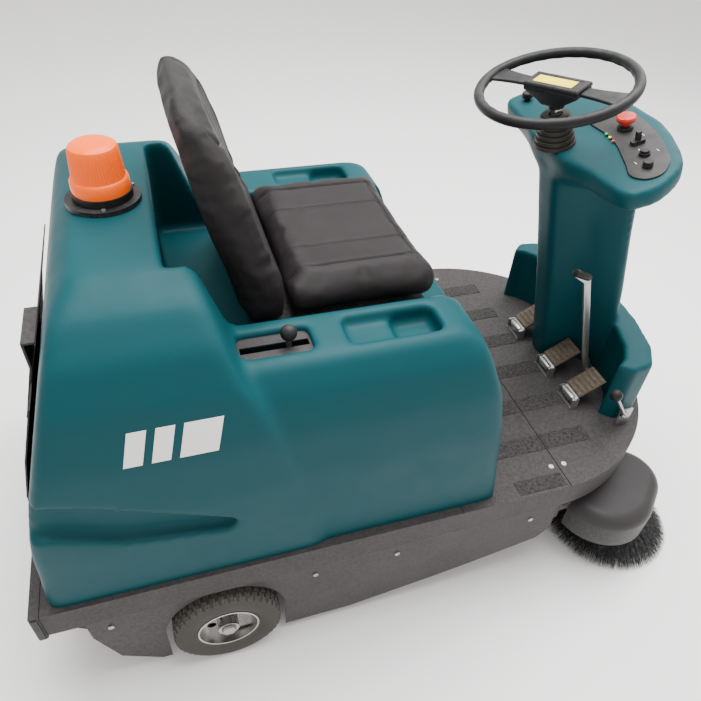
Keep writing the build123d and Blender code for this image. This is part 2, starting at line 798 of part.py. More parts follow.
motor_low = 96
motor_shaft_radius = 9
with BuildPart() as side_brush_motor:
    with BuildSketch(Plane.XY.offset(motor_low)):
        with Locations((side_brush_x, side_brush_y)):
            Circle(side_motor_radius)
    extrude(amount=hood_top - 45 - motor_low)
    with BuildSketch(Plane.XY.offset(motor_low - 40)):
        with Locations((side_brush_x, side_brush_y)):
            Circle(motor_shaft_radius)
    extrude(amount=40)

hood_wall = 4
hood_low = 118
with BuildPart() as side_brush_hood:
    with BuildSketch(Plane.XY.offset(hood_low)):
        with Locations((hood_x, hood_y)):
            Circle(hood_radius)
        with Locations((side_brush_x - 10, side_brush_y - 4)):
            Circle(hood_radius - 32)
        make_hull()
    extrude(amount=hood_top - hood_low)
    fillet(side_brush_hood.faces().sort_by(Axis.Z)[-1].edges(), 34)
    offset(amount=-hood_wall, openings=side_brush_hood.faces().sort_by(Axis.Z)[0])
    with BuildSketch(Plane.XY.offset(hood_low)):
        with Locations((side_pivot_x + 70, hood_y)):
            Rectangle(140, 46)
    extrude(amount=hood_top - hood_low - 10, mode=Mode.SUBTRACT)
write_piece("side_brush_hood", side_brush_hood)

hub_low = 58
with BuildPart() as side_brush_plate:
    with BuildSketch(Plane.XY.offset(hub_low)):
        with Locations((side_brush_x, side_brush_y)):
            Circle(78)
            Circle(motor_shaft_radius + shaft_clearance, mode=Mode.SUBTRACT)
    extrude(amount=14)
write_piece("side_brush_plate", side_brush_plate)

side_bristle_top = 74
with BuildPart() as side_brush_bristles:
    with BuildSketch(Plane.XZ.offset(-side_brush_y)):
        with BuildLine():
            Polyline((side_brush_x + side_brush_radius, 0.5), (side_brush_x + side_brush_radius - 4, 22),
                     (side_brush_x + 82, side_bristle_top), (side_brush_x + 79, side_bristle_top),
                     (side_brush_x + 79, hub_low), (side_brush_x + 40, hub_low), (side_brush_x + 110, 0.5),
                     close=True)
        make_face()
    revolve(axis=Axis((side_brush_x, side_brush_y, 0), (0, 0, 1)))
write_piece("side_brush_bristles", side_brush_bristles)

# ---- steering column and dash ----
column_stations = [
    (334, [(630, 30), (710, 45), (806, 124)]),
    (600, [(572, 33), (640, 50), (752, 124)]),
    (880, [(502, 34), (596, 68), (686, 116)]),
]


def station_outline(points, inset):
    """One horizontal section of the column, from half widths along its length."""
    rear_x, rear_y = points[0]
    middle_x, middle_y = points[1]
    front_x, front_y = points[2]
    half = [
        (rear_x + inset, 0), (rear_x + inset, rear_y - inset), (middle_x, middle_y - inset),
        (front_x - 30, front_y - inset), (front_x - inset, front_y - 30), (front_x - inset, 0),
    ]
    other = [(x, -y) for x, y in half[1:-1]]
    return half + other[::-1]


def dash_head(inset):
    """The outline of the dash, drawn on its own sloping plane."""
    half = [(x, y - inset) for x, y in dash_outline]
    half[0] = (half[0][0] + inset, half[0][1])
    half[-1] = (half[-1][0] - inset, half[-1][1])
    other = [(x, -y) for x, y in half]
    return half + other[::-1]


def column_body(inset):
    """The column, the flare above it and the flat-topped dash, shrunk by the inset."""
    with BuildPart() as body:
        for height, points in column_stations:
            with BuildSketch(Plane.XY.offset(height)):
                with BuildLine():
                    Polyline(*station_outline(points, inset), close=True)
                make_face()
        loft(ruled=True)
        with BuildSketch(Plane.XY.offset(column_stations[-1][0])):
            with BuildLine():
                Polyline(*station_outline(column_stations[-1][1], inset), close=True)
            make_face()
        with BuildSketch(dash_plane.offset(-dash_depth)):
            with BuildLine():
                Polyline(*dash_head(inset), close=True)
            make_face()
        loft(ruled=True)
        with BuildSketch(dash_plane.offset(-dash_depth)):
            with BuildLine():
                Polyline(*dash_head(inset), close=True)
            make_face()
        extrude(amount=dash_depth - inset)
    return body


def cowl_outline(half):
    """A plan outline of the leg guard from its left half."""
    other = [(x, -y) for x, y in half[:-1]]
    return half + other[::-1]


dash_plane = Plane(
    origin=(dash_x, 0, dash_z),
    x_dir=(math.cos(math.radians(dash_tilt)), 0, math.sin(math.radians(dash_tilt))),
    z_dir=(-math.sin(math.radians(dash_tilt)), 0, math.cos(math.radians(dash_tilt))),
)
steering_plane = Plane(
    origin=(steering_x, 0, steering_z),
    x_dir=(math.cos(math.radians(steering_tilt)), 0, math.sin(math.radians(steering_tilt))),
    z_dir=(-math.sin(math.radians(steering_tilt)), 0, math.cos(math.radians(steering_tilt))),
)
dash_outline = [(34, 60), (50, 130), (62, 232), (96, 252), (140, 248), (205, 212), (242, 150), (272, 60)]
stop_place = (192, -43)
stop_bore_radius = 9
cowl_top = 505
cowl_outer = [(658, 258), (690, 288), (745, 280), (785, 222), (815, 115), (825, 0)]
cowl_inner = [(664, 255), (688, 242), (718, 200), (744, 120), (778, 50), (786, 0)]
cowl_wall = 5
with BuildPart() as steering_column:
    add(column_body(0).part)
    with BuildSketch(Plane.XY.offset(deck_top)):
        with BuildLine():
            Polyline(*(cowl_outline(cowl_outer) + cowl_outline(cowl_inner)[::-1]), close=True)
        make_face()
    extrude(amount=cowl_top - deck_top)
    add(column_body(cowl_wall).part, mode=Mode.SUBTRACT)
    with BuildSketch(steering_plane):
        Circle(steering_shaft_radius + 3)
    extrude(amount=-160, mode=Mode.SUBTRACT)
    with BuildSketch(dash_plane):
        with Locations(stop_place):
            Circle(stop_bore_radius)
    extrude(amount=-cowl_wall - 1, mode=Mode.SUBTRACT)
write_piece("steering_column", steering_column)

# ---- steering ----
hub_radius = 17
spoke_root = 17
spoke_tip = 29
spoke_drop = 6
spoke_thickness = 8
boss_drop = 34
boss_size = 44
hub_drop = 44
shaft_drop = 14
wheel_turn = 26
pad_length = 54
pad_width = 126
pad_height = 8
wheel_plane = steering_plane.rotated((0, 0, wheel_turn))
spoke_outline = [(-spoke_root, 0), (-spoke_root, pad_width / 2), (-spoke_tip, steering_radius),
                 (spoke_tip, steering_radius), (spoke_root, pad_width / 2), (spoke_root, 0)]
with BuildPart() as steering_wheel:
    with Locations(steering_plane):
        Torus(steering_radius, steering_tube)
    with BuildSketch(wheel_plane.offset(-spoke_drop)):
        for flip in (-1, 1):
            with BuildLine():
                Polyline(*[(x, flip * y) for x, y in spoke_outline], close=True)
            make_face()
        Rectangle(pad_length, pad_width)
    extrude(amount=spoke_thickness)
    with BuildSketch(wheel_plane.offset(-boss_drop)):
        Rectangle(boss_size, boss_size)
    with BuildSketch(wheel_plane.offset(-spoke_drop)):
        Rectangle(pad_length, pad_width)
    loft()
    with BuildSketch(steering_plane.offset(-hub_drop)):
        Circle(hub_radius)
    extrude(amount=hub_drop - spoke_drop)
    with BuildSketch(steering_plane.offset(-hub_drop)):
        Circle(steering_shaft_radius)
    extrude(amount=hub_drop - shaft_drop, mode=Mode.SUBTRACT)
write_piece("steering_wheel", steering_wheel)

with BuildPart() as steering_pad:
    with BuildSketch(wheel_plane.offset(spoke_thickness - spoke_drop)):
        RectangleRounded(pad_length, pad_width, 4)
    extrude(amount=pad_height)
write_piece("steering_pad", steering_pad)

shaft_length = 738
with BuildPart() as steering_shaft:
    with BuildSketch(steering_plane.offset(-shaft_drop)):
        Circle(steering_shaft_radius)
    extrude(amount=-shaft_length)
write_piece("steering_shaft", steering_shaft)

boot_low = 123.5
boot_ribs = 6
boot_pitch = 11
with BuildPart() as steering_boot:
    for rib in range(boot_ribs):
        rib_radius = 43 - 2.4 * rib
        with BuildSketch(steering_plane.offset(-boot_low + rib * boot_pitch)):
            Circle(rib_radius)
        extrude(amount=boot_pitch * 0.6)
        with BuildSketch(steering_plane.offset(-boot_low + (rib + 0.6) * boot_pitch)):
            Circle(rib_radius - 5)
        extrude(amount=boot_pitch * 0.4)
    with BuildSketch(steering_plane.offset(-boot_low)):
        Circle(steering_shaft_radius + 3)
    extrude(amount=boot_ribs * boot_pitch, mode=Mode.SUBTRACT)
write_piece("steering_boot", steering_boot)

# ---- dash controls, all placed on the dash plane as (forward, left) ----
panel_outline = [(156, 44), (150, -60), (118, -150), (100, -190), (104, -214), (132, -226), (168, -214), (196, -184),
                 (228, -108), (246, -26), (246, 30), (232, 44)]
panel_height = 4
with BuildPart() as dash_panel:
    with BuildSketch(dash_plane):
        with BuildLine():
            Polyline(*panel_outline, close=True)
        make_face()
        with Locations(stop_place):
            Circle(stop_bore_radius, mode=Mode.SUBTRACT)
    extrude(amount=panel_height)


def turned_control(place, stem_radius, stem_height, cap_radius, cap_height, base):
    """A round control: a stem with a wider cap, standing on the dash."""
    with BuildPart() as control:
        with BuildSketch(dash_plane.offset(base)):
            with Locations(place):
                Circle(stem_radius)
        extrude(amount=stem_height)
        with BuildSketch(dash_plane.offset(base + stem_height)):
            with Locations(place):
                Circle(cap_radius)
        extrude(amount=cap_height)
        fillet(control.edges().filter_by(GeomType.CIRCLE).sort_by(lambda edge: edge.center().Z)[-1], cap_height * 0.4)
    return control


console_lever_place = (177, -107)
key_place = (163, -150)
horn_place = (143, -189)
knob_place = (102, 206)
stop_travel = 6
stop_collar_height = 8
with BuildPart() as stop_collar:
    with BuildSketch(dash_plane.offset(panel_height)):
        with Locations(stop_place):
            Circle(17)
            Circle(stop_bore_radius, mode=Mode.SUBTRACT)
    extrude(amount=stop_collar_height)
control_base = panel_height + moving_gap
emergency_stop = turned_control(stop_place, 8, stop_collar_height + stop_travel + 2, 20, 14, control_base)
write_piece("emergency_stop", emergency_stop)
key_switch = turned_control(key_place, 11, 6, 9, 5, control_base)
write_piece("key_switch", key_switch)
horn_button = turned_control(horn_place, 10, 7, 9, 3, control_base + 2)
write_piece("horn_button", horn_button)
lamp_knob = turned_control(knob_place, 7, 8, 13, 12, moving_gap)
write_piece("lamp_knob", lamp_knob)

with BuildPart() as console_lever:
    with BuildSketch(dash_plane.offset(control_base)):
        with Locations(console_lever_place):
            RectangleRounded(30, 14, 4)
    extrude(amount=8)
    with BuildSketch(dash_plane.offset(control_base + 8)):
        with Locations(console_lever_place):
            Rectangle(9, 8)
    extrude(amount=18)
write_piece("console_lever", console_lever)

# ---- pedals ----
pedal_wall = 4
pad_wall = 8
heel_x = 607
heel_z = 356
pedal_pin_radius = 5
pedal_middles = {"drive": -198, "brake": -80, "flap": 84}


def tilted_pedal(middle_y):
    """The sloping plane that a pedal's plate lies on."""
    slope = math.radians(pedal_tilt)
    return Plane(
        origin=(heel_x, middle_y, heel_z),
        x_dir=(math.cos(slope), 0, math.sin(slope)),
        z_dir=(-math.sin(slope), 0, math.cos(slope)),
    )


for pedal_name, middle_y in pedal_middles.items():
    pedal_plane = tilted_pedal(middle_y)
    with BuildPart() as pedal_plate:
        with BuildSketch(pedal_plane):
            with Locations((pedal_length / 2, 0)):
                Rectangle(pedal_length, pedal_width - 6)
        extrude(amount=pedal_wall)
        with BuildSketch(Plane.XZ.offset(-middle_y)):
            with Locations((heel_x, heel_z)):
                Circle(pedal_pin_radius + 4)
        extrude(amount=pedal_width / 2 - 10, both=True)
        with BuildSketch(Plane.XZ.offset(-middle_y)):
            with Locations((heel_x, heel_z)):
                Circle(pedal_pin_radius + shaft_clearance)
        extrude(amount=pedal_width, both=True, mode=Mode.SUBTRACT)
    with BuildPart() as pedal_pad:
        with BuildSketch(pedal_plane.offset(pedal_wall)):
            with Locations((pedal_length / 2 + 6, 0)):
                RectangleRounded(pedal_length - 14, pedal_width, 5)
        extrude(amount=pad_wall)
    write_piece(f"{pedal_name}_pedal", pedal_plate, pedal_pad)

with BuildPart() as pedal_brackets:
    for middle_y in pedal_middles.values():
        with BuildSketch(Plane.XY.offset(deck_top)):
            with Locations((heel_x, middle_y)):
                Rectangle(22, pedal_width + 3)
        extrude(amount=pedal_wall)
        for side in (-1, 1):
            with BuildSketch(Plane.XZ.offset(-(middle_y + side * (pedal_width / 2 - 0.5)))):
                with Locations((heel_x, (deck_top + heel_z + 8) / 2)):
                    Rectangle(20, heel_z + 8 - deck_top)
            extrude(amount=pedal_wall / 2, both=True)
        with BuildSketch(Plane.XZ.offset(-middle_y)):
            with Locations((heel_x, heel_z)):
                Circle(pedal_pin_radius)
        extrude(amount=pedal_width / 2, both=True)

park_y = -150
park_pivot_x = 692
park_pivot_z = 366
park_wall = 6
with BuildPart() as parking_lever:
    with BuildSketch(Plane.XZ.offset(-park_y)):
        with BuildLine():
            Polyline((706, 360), (692, 352), (676, 366), (653, 428), (571, 680), (540, 702), (546, 720), (584, 698),
                     (669, 432), (700, 378), close=True)
        make_face()
        with Locations((park_pivot_x, park_pivot_z)):
            Circle(5 + shaft_clearance, mode=Mode.SUBTRACT)
    extrude(amount=park_wall / 2, both=True)

with BuildPart() as parking_grip:
    with BuildSketch(Plane.XZ.offset(-(park_y - park_wall / 2))):
        with BuildLine():
            Polyline((536, 700), (544, 724), (584, 704), (574, 684), close=True)
        make_face()
    extrude(amount=6)
    with BuildSketch(Plane.XZ.offset(-(park_y + park_wall / 2))):
        with BuildLine():
            Polyline((536, 700), (544, 724), (584, 704), (574, 684), close=True)
        make_face()
    extrude(amount=-6)

with BuildPart() as parking_bracket:
    for side in (-1, 1):
        with BuildSketch(Plane.XZ.offset(-(park_y + side * 8))):
            with Locations((park_pivot_x, (deck_top + park_pivot_z + 10) / 2)):
                Rectangle(24, park_pivot_z + 10 - deck_top)
        extrude(amount=2, both=True)
    with BuildSketch(Plane.XY.offset(deck_top)):
        with Locations((park_pivot_x, park_y)):
            Rectangle(24, 20)
    extrude(amount=4)
    with BuildSketch(Plane.XZ.offset(-park_y)):
        with Locations((park_pivot_x, park_pivot_z)):
            Circle(5)
    extrude(amount=10, both=True)

# ---- side brush lever on the right leg guard ----
wing_lever_y = -312
wing_pivot_x = 690
wing_pivot_z = 372
with BuildPart() as side_brush_lever:
    with BuildSketch(Plane.XZ.offset(-wing_lever_y)):
        with BuildLine():
            Polyline((698, 366), (682, 364), (634, 446), (642, 451.5), (698, 382), close=True)
        make_face()
        with Locations((wing_pivot_x, wing_pivot_z)):
            Circle(4 + shaft_clearance, mode=Mode.SUBTRACT)
    extrude(amount=3, both=True)

with BuildPart() as side_lever_knob:
    # turned so that the seam of the ball stays off the flat of the lever
    with Locations(Location((633, wing_lever_y, 457), (0, 0, 90))):
        Sphere(knob_radius)

with BuildPart() as side_lever_bracket:
    with BuildSketch(Plane.XZ.offset(-(wing_lever_y + 4))):
        with Locations((wing_pivot_x + 6, (deck_top + wing_pivot_z + 14) / 2)):
            Rectangle(36, wing_pivot_z + 14 - deck_top)
    extrude(amount=-4)
    with BuildSketch(Plane.XZ.offset(-(wing_lever_y - 4))):
        with Locations((wing_pivot_x, wing_pivot_z)):
            Circle(4)
    extrude(amount=-9)

# ---- seat ----
seat_pan_wall = 8
seat_pan_rear = -200
seat_pan_front = 150
seat_pan_width = 390
with BuildPart() as seat_pan:
    with BuildSketch(Plane.XY.offset(seat_bottom - seat_pan_wall)):
        with Locations(((seat_pan_rear + seat_pan_front) / 2, 0)):
            Rectangle(seat_pan_front - seat_pan_rear, seat_pan_width)
    extrude(amount=seat_pan_wall)
write_piece("seat_pan", seat_pan)

cushion_rear = -130
cushion_front = 180
cushion_corner = 45
cushion_half_width = seat_half_width - 2
with BuildPart() as seat_cushion:
    with BuildSketch(Plane.XY.offset(seat_bottom)) as cushion_plan:
        with Locations(((cushion_rear + cushion_front) / 2, 0)):
            Rectangle(cushion_front - cushion_rear, 2 * cushion_half_width)
        fillet(cushion_plan.vertices().group_by(Axis.X)[-1], cushion_corner)
    extrude(amount=cushion_height)
    fillet(seat_cushion.faces().sort_by(Axis.Z)[-1].edges(), 18)
write_piece("seat_cushion", seat_cushion)

back_profile = [(-206, seat_bottom), (-206, 772), (-226, 861), (-249, 935), (-267, 1001), (-282, 1070),
                (-303, 1147), (-309, 1190), (-296, 1216), (-268, 1217), (-254, 1190), (-217, 1072),
                (-188, 992), (-171, 924), (-153, 868), (cushion_rear, 812), (cushion_rear, seat_bottom)]
back_outline = [(218, 740), (224, 860), (222, 1000), (206, 1100), (170, 1180), (110, 1212), (60, 1218)]
with BuildPart() as seat_back:
    with BuildSketch(Plane.XZ):
        with BuildLine():
            Polyline(*back_profile, close=True)
        make_face()
    extrude(amount=seat_half_width, both=True)
    with BuildSketch(Plane.YZ):
        with BuildLine():
            Polyline(*mirrored_section(back_outline), close=True)
        make_face()
    extrude(amount=600, both=True, mode=Mode.INTERSECT)
write_piece("seat_back", seat_back)

runner_width = 24
runner_height = 7
runner_y = 150
runner_rear = -170
with BuildPart() as seat_frame:
    with BuildSketch(Plane.XY.offset(seat_bottom - seat_pan_wall - runner_height - moving_gap)):
        for side in (-1, 1):
            with Locations(((runner_rear + seat_pivot_x) / 2, side * runner_y)):
                Rectangle(seat_pivot_x - runner_rear, runner_width)
        with Locations((seat_pivot_x - 10, 0)):
            Rectangle(20, 2 * runner_y)
    extrude(amount=runner_height)
    with BuildSketch(Plane.XZ):
        with Locations((seat_pivot_x, seat_pivot_z)):
            Circle(9)
            Circle(5 + shaft_clearance, mode=Mode.SUBTRACT)
    extrude(amount=60, both=True)
write_piece("seat_frame", seat_frame)

with BuildPart() as seat_hinge:
    for side in (-1, 1):
        with BuildSketch(Plane.XZ.offset(-side * 66)):
            with Locations((seat_pivot_x, (well_floor + seat_pivot_z + 4) / 2)):
                Rectangle(20, seat_pivot_z + 4 - well_floor)
        extrude(amount=2, both=True)
    with BuildSketch(Plane.XY.offset(well_floor)):
        with Locations((seat_pivot_x, 0)):
            Rectangle(20, 136)
    extrude(amount=3)
    with BuildSketch(Plane.XZ):
        with Locations((seat_pivot_x, seat_pivot_z)):
            Circle(5)
    extrude(amount=68, both=True)
write_piece("seat_hinge", seat_hinge)

# ---- beacon ----
beacon_flange_z = tower_top
with BuildPart() as beacon_base:
    with BuildSketch(Plane.XY.offset(beacon_flange_z)):
        with Locations((beacon_x, 0)):
            Circle(66)
    extrude(amount=9)
    with BuildSketch(Plane.XY.offset(beacon_flange_z + 9)):
        with Locations((beacon_x, 0)):
            Circle(53)
    extrude(amount=14)
write_piece("beacon_base", beacon_base)

with BuildPart() as beacon_screws:
    with BuildSketch(Plane.XY.offset(beacon_flange_z + 9)):
        with Locations((beacon_x, 0)):
            with PolarLocations(59.5, 3, start_angle=30):
                Circle(4)
    extrude(amount=3)

lens_low = beacon_flange_z + 23
lens_profile = [(0, lens_low), (51, lens_low), (51, lens_low + 22), (48, lens_low + 26), (43, lens_low + 76),
                (36, lens_low + 84), (0, lens_low + 86)]
with BuildPart() as beacon_lens:
    with BuildSketch(Plane.XZ):
        with BuildLine():
            Polyline(*[(beacon_x + x, z) for x, z in lens_profile], close=True)
        make_face()
    revolve(axis=Axis((beacon_x, 0, 0), (0, 0, 1)))
write_piece("beacon_lens", beacon_lens)

# ---- fasteners and inlet ----
with BuildPart() as floor_screws:
    with BuildSketch(Plane.XY.offset(deck_top)):
        for screw_x in (deck_seam - 18, deck_seam + 16):
            for side in (-1, 1):
                with Locations((screw_x, side * 382)):
                    Circle(screw_radius)
    extrude(amount=1.5)

with BuildPart() as skirt_screws:
    for side in (-1, 1):
        with BuildSketch(Plane.XZ.offset(-side * skirt_half_width)):
            for screw_x in (-555, -130, 60, 400):
                with Locations((screw_x, 215)):
                    Circle(screw_radius)
        extrude(amount=-side * 3)

with BuildPart() as charger_inlet:
    with BuildSketch(Plane.YZ.offset(-107)):
        with Locations((0, 640)):
            RectangleRounded(70, 44, 6)
            Rectangle(44, 20, mode=Mode.SUBTRACT)
    extrude(amount=12)
write_piece("charger_inlet", charger_inlet)

write_piece("crossmembers", crossmembers, steering_crossmember, side_brush_mount)
write_piece("body_deck", body_deck, battery_tray)
write_piece("lever_bracket", lever_bracket, lever_gate)
write_piece("brush_lever", brush_lever, ball_knob(lever_x, lever_y, lever_knob_z))
write_piece("filter_box", filter_box, panel_filter)
write_piece("hopper_panel", hopper_panel, hopper_handle)
write_piece("side_brush_arm", side_brush_arm, side_brush_motor)
write_piece("main_brush", main_brush_core, main_brush_bristles)
write_piece("dash_panel", dash_panel, stop_collar)
write_piece("floor_brackets", pedal_brackets, parking_bracket, side_lever_bracket)
write_piece("parking_lever", parking_lever, parking_grip)
write_piece("side_brush_lever", side_brush_lever, side_lever_knob)
write_piece("screws", floor_screws, skirt_screws, beacon_screws)
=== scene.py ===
import math
import random
import bpy
import bmesh
import numpy as np
from mathutils import Matrix, Vector


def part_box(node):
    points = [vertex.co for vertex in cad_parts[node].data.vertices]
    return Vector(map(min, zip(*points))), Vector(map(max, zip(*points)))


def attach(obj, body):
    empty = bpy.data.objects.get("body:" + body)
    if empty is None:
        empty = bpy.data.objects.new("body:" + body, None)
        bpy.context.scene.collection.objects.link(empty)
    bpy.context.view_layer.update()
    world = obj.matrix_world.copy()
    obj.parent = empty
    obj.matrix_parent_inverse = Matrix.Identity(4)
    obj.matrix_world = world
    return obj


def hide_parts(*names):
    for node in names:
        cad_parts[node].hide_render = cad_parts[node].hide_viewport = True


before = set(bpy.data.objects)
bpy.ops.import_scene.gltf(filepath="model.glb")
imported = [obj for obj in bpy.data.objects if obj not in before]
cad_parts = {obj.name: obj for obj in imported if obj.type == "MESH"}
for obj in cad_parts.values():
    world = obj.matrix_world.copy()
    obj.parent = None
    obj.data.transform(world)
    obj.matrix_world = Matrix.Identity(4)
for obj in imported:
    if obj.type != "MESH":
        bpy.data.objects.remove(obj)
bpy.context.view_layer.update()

random.seed(12)
noise = np.random.default_rng(12)

# the machine's own centre plane, the hopper crossbar and the floor plate give every place below
wheelLow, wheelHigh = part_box("steering_wheel")
midY = (wheelLow[1] + wheelHigh[1]) / 2
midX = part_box("hopper_crossbar")[0][0] + 0.679
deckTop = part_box("floor_plate_front")[1][2]


def at(x, y, z):
    return Vector((x + midX, y + midY, z))


# the camera, the floor and the light
view = {"place": (-0.3284, -1.1125, 1.5012), "turn": 0.3406, "down": 0.727, "roll": -0.0645, "lens": 32.55}


def placeCamera():
    forward = Vector((math.sin(view["turn"]) * math.cos(view["down"]),
                      math.cos(view["turn"]) * math.cos(view["down"]), -math.sin(view["down"])))
    across = Vector((math.cos(view["turn"]), -math.sin(view["turn"]), 0))
    below = forward.cross(across)
    right = math.cos(view["roll"]) * across + math.sin(view["roll"]) * below
    down = -math.sin(view["roll"]) * across + math.cos(view["roll"]) * below
    camData = bpy.data.cameras.new("shopCamera")
    camData.lens = view["lens"]
    camData.sensor_width = 36
    camData.shift_x = 0.0032
    cam = bpy.data.objects.new("shopCamera", camData)
    bpy.context.scene.collection.objects.link(cam)
    turn = Matrix((right, -down, -forward)).transposed().to_4x4()
    cam.matrix_world = Matrix.Translation(at(*view["place"])) @ turn
    bpy.context.scene.camera = cam


def deselectAll():
    if bpy.context.object and bpy.context.object.mode != "OBJECT":
        bpy.ops.object.mode_set(mode="OBJECT")
    bpy.ops.object.select_all(action="DESELECT")


def activate(piece):
    deselectAll()
    piece.select_set(True)
    bpy.context.view_layer.objects.active = piece


room = {"floor": (0.95, 0.94, 0.93), "size": 14, "sky": 1.2, "lookAt": (0, 0, 0.4),
        "lamps": {"keyLamp": ((0.3, 0.5, 3.5), 2.8, 300), "fillLamp": ((2.6, 1.4, 2.6), 2.2, 45)}}


def buildRoom():
    deselectAll()
    bpy.ops.mesh.primitive_plane_add(size=room["size"], location=(0, 0, 0))
    floor = bpy.context.object
    floor.name = "studioFloor"
    paper = bpy.data.materials.new("paleFloor")
    paper.use_nodes = True
    shader = paper.node_tree.nodes["Principled BSDF"]
    shader.inputs["Base Color"].default_value = (*room["floor"], 1)
    shader.inputs["Roughness"].default_value = 0.55
    floor.data.materials.append(paper)
    world = bpy.data.worlds.new("softRoom")
    world.use_nodes = True
    world.node_tree.nodes["Background"].inputs["Color"].default_value = (1, 0.985, 0.97, 1)
    world.node_tree.nodes["Background"].inputs["Strength"].default_value = room["sky"]
    bpy.context.scene.world = world
    for name, (place, size, power) in room["lamps"].items():
        lamp = bpy.data.lights.new(name, "AREA")
        lamp.size = size
        lamp.energy = power
        holder = bpy.data.objects.new(name, lamp)
        holder.location = place
        holder.rotation_euler = (Vector(room["lookAt"]) - Vector(place)).to_track_quat("-Z", "Y").to_euler()
        bpy.context.scene.collection.objects.link(holder)


placeCamera()
buildRoom()
print("camera and room placed")


# effects that several finishes share
def newGroup(name, inputs, outputs):
    group = bpy.data.node_groups.new(name, "ShaderNodeTree")
    for label, kind, value in inputs:
        socket = group.interface.new_socket(name=label, in_out="INPUT", socket_type=kind)
        socket.default_value = value
    for label, kind in outputs:
        group.interface.new_socket(name=label, in_out="OUTPUT", socket_type=kind)
    return group, group.nodes.new("NodeGroupInput"), group.nodes.new("NodeGroupOutput")


def addNode(tree, kind, **values):
    node = tree.nodes.new(kind)
    for key, value in values.items():
        if key.startswith("in_"):
            node.inputs[int(key[3:])].default_value = value
        else:
            setattr(node, key, value)
    return node


def noiseNode(tree, vector, scale, detail, rough=0.5):
    node = addNode(tree, "ShaderNodeTexNoise")
    node.inputs["Detail"].default_value = detail
    node.inputs["Roughness"].default_value = rough
    if isinstance(scale, (int, float)):
        node.inputs["Scale"].default_value = scale
    else:
        tree.links.new(scale, node.inputs["Scale"])
    tree.links.new(vector, node.inputs["Vector"])
    return node.outputs["Fac"]


def ramp(tree, value, low, high):
    node = addNode(tree, "ShaderNodeMapRange")
    node.inputs["From Min"].default_value = low
    node.inputs["From Max"].default_value = high
    tree.links.new(value, node.inputs["Value"])
    return node.outputs["Result"]


def mathNode(tree, operation, first, second):
    node = addNode(tree, "ShaderNodeMath", operation=operation)
    for slot, value in enumerate((first, second)):
        if isinstance(value, (int, float)):
            node.inputs[slot].default_value = value
        elif value is not None:
            tree.links.new(value, node.inputs[slot])
    return node.outputs[0]


def mixColor(tree, factor, first, second):
    node = addNode(tree, "ShaderNodeMix", data_type="RGBA")
    for slot, value in ((0, factor), (6, first), (7, second)):
        if isinstance(value, (tuple, int, float)):
            node.inputs[slot].default_value = (*value, 1) if isinstance(value, tuple) else value
        else:
            tree.links.new(value, node.inputs[slot])
    return node.outputs[2]


def buildGrainGroup():
    # pebbled grain: cells and a fine noise, as a height
    group, source, sink = newGroup("mouldGrain", [("Scale", "NodeSocketFloat", 600.0),
                                                  ("Pebble", "NodeSocketFloat", 0.5)],
                                   [("Height", "NodeSocketFloat")])
    coord = addNode(group, "ShaderNodeTexCoord").outputs["Object"]
    cells = addNode(group, "ShaderNodeTexVoronoi")
    group.links.new(coord, cells.inputs["Vector"])
    group.links.new(source.outputs["Scale"], cells.inputs["Scale"])
    fine = noiseNode(group, coord, source.outputs["Scale"], 3)
    pebble = mathNode(group, "MULTIPLY", cells.outputs["Distance"], source.outputs["Pebble"])
    group.links.new(mathNode(group, "ADD", pebble, fine), sink.inputs["Height"])
    return group


def buildWearGroup():
    # worn edges, broad colour drift and settled dust on what faces up
    group, source, sink = newGroup(
        "wearAndDust",
        [("Color", "NodeSocketColor", (0.5, 0.5, 0.5, 1)),
         ("Worn Color", "NodeSocketColor", (0.6, 0.6, 0.6, 1)),
         ("Dust Color", "NodeSocketColor", (0.55, 0.52, 0.48, 1)), ("Wear", "NodeSocketFloat", 0.3),
         ("Dust", "NodeSocketFloat", 0.15), ("Drift", "NodeSocketFloat", 0.1)],
        [("Color", "NodeSocketColor"), ("Mask", "NodeSocketFloat")])
    coord = addNode(group, "ShaderNodeTexCoord").outputs["Object"]
    geometry = addNode(group, "ShaderNodeNewGeometry")
    blotch = noiseNode(group, coord, 9.0, 6, 0.6)
    scratch = noiseNode(group, coord, 140.0, 4, 0.7)
    edge = ramp(group, geometry.outputs["Pointiness"], 0.52, 0.60)
    edge = mathNode(group, "MULTIPLY", edge, ramp(group, scratch, 0.38, 0.62))
    edge = mathNode(group, "MULTIPLY", edge, source.outputs["Wear"])
    drift = mathNode(group, "MULTIPLY", ramp(group, blotch, 0.35, 0.7), source.outputs["Drift"])
    darker = mixColor(group, drift, source.outputs["Color"], (0.02, 0.02, 0.02))
    worn = mixColor(group, edge, darker, source.outputs["Worn Color"])
    split = addNode(group, "ShaderNodeSeparateXYZ")
    group.links.new(geometry.outputs["Normal"], split.inputs[0])
    upward = ramp(group, split.outputs["Z"], 0.35, 1.0)
    specks = ramp(group, noiseNode(group, coord, 26.0, 8, 0.65), 0.35, 0.75)
    dust = mathNode(group, "MULTIPLY", upward, specks)
    dust = mathNode(group, "MULTIPLY", dust, source.outputs["Dust"])
    group.links.new(mixColor(group, dust, worn, source.outputs["Dust Color"]), sink.inputs["Color"])
    group.links.new(mathNode(group, "MAXIMUM", edge, dust), sink.inputs["Mask"])
    return group


grainGroup = buildGrainGroup()
wearGroup = buildWearGroup()


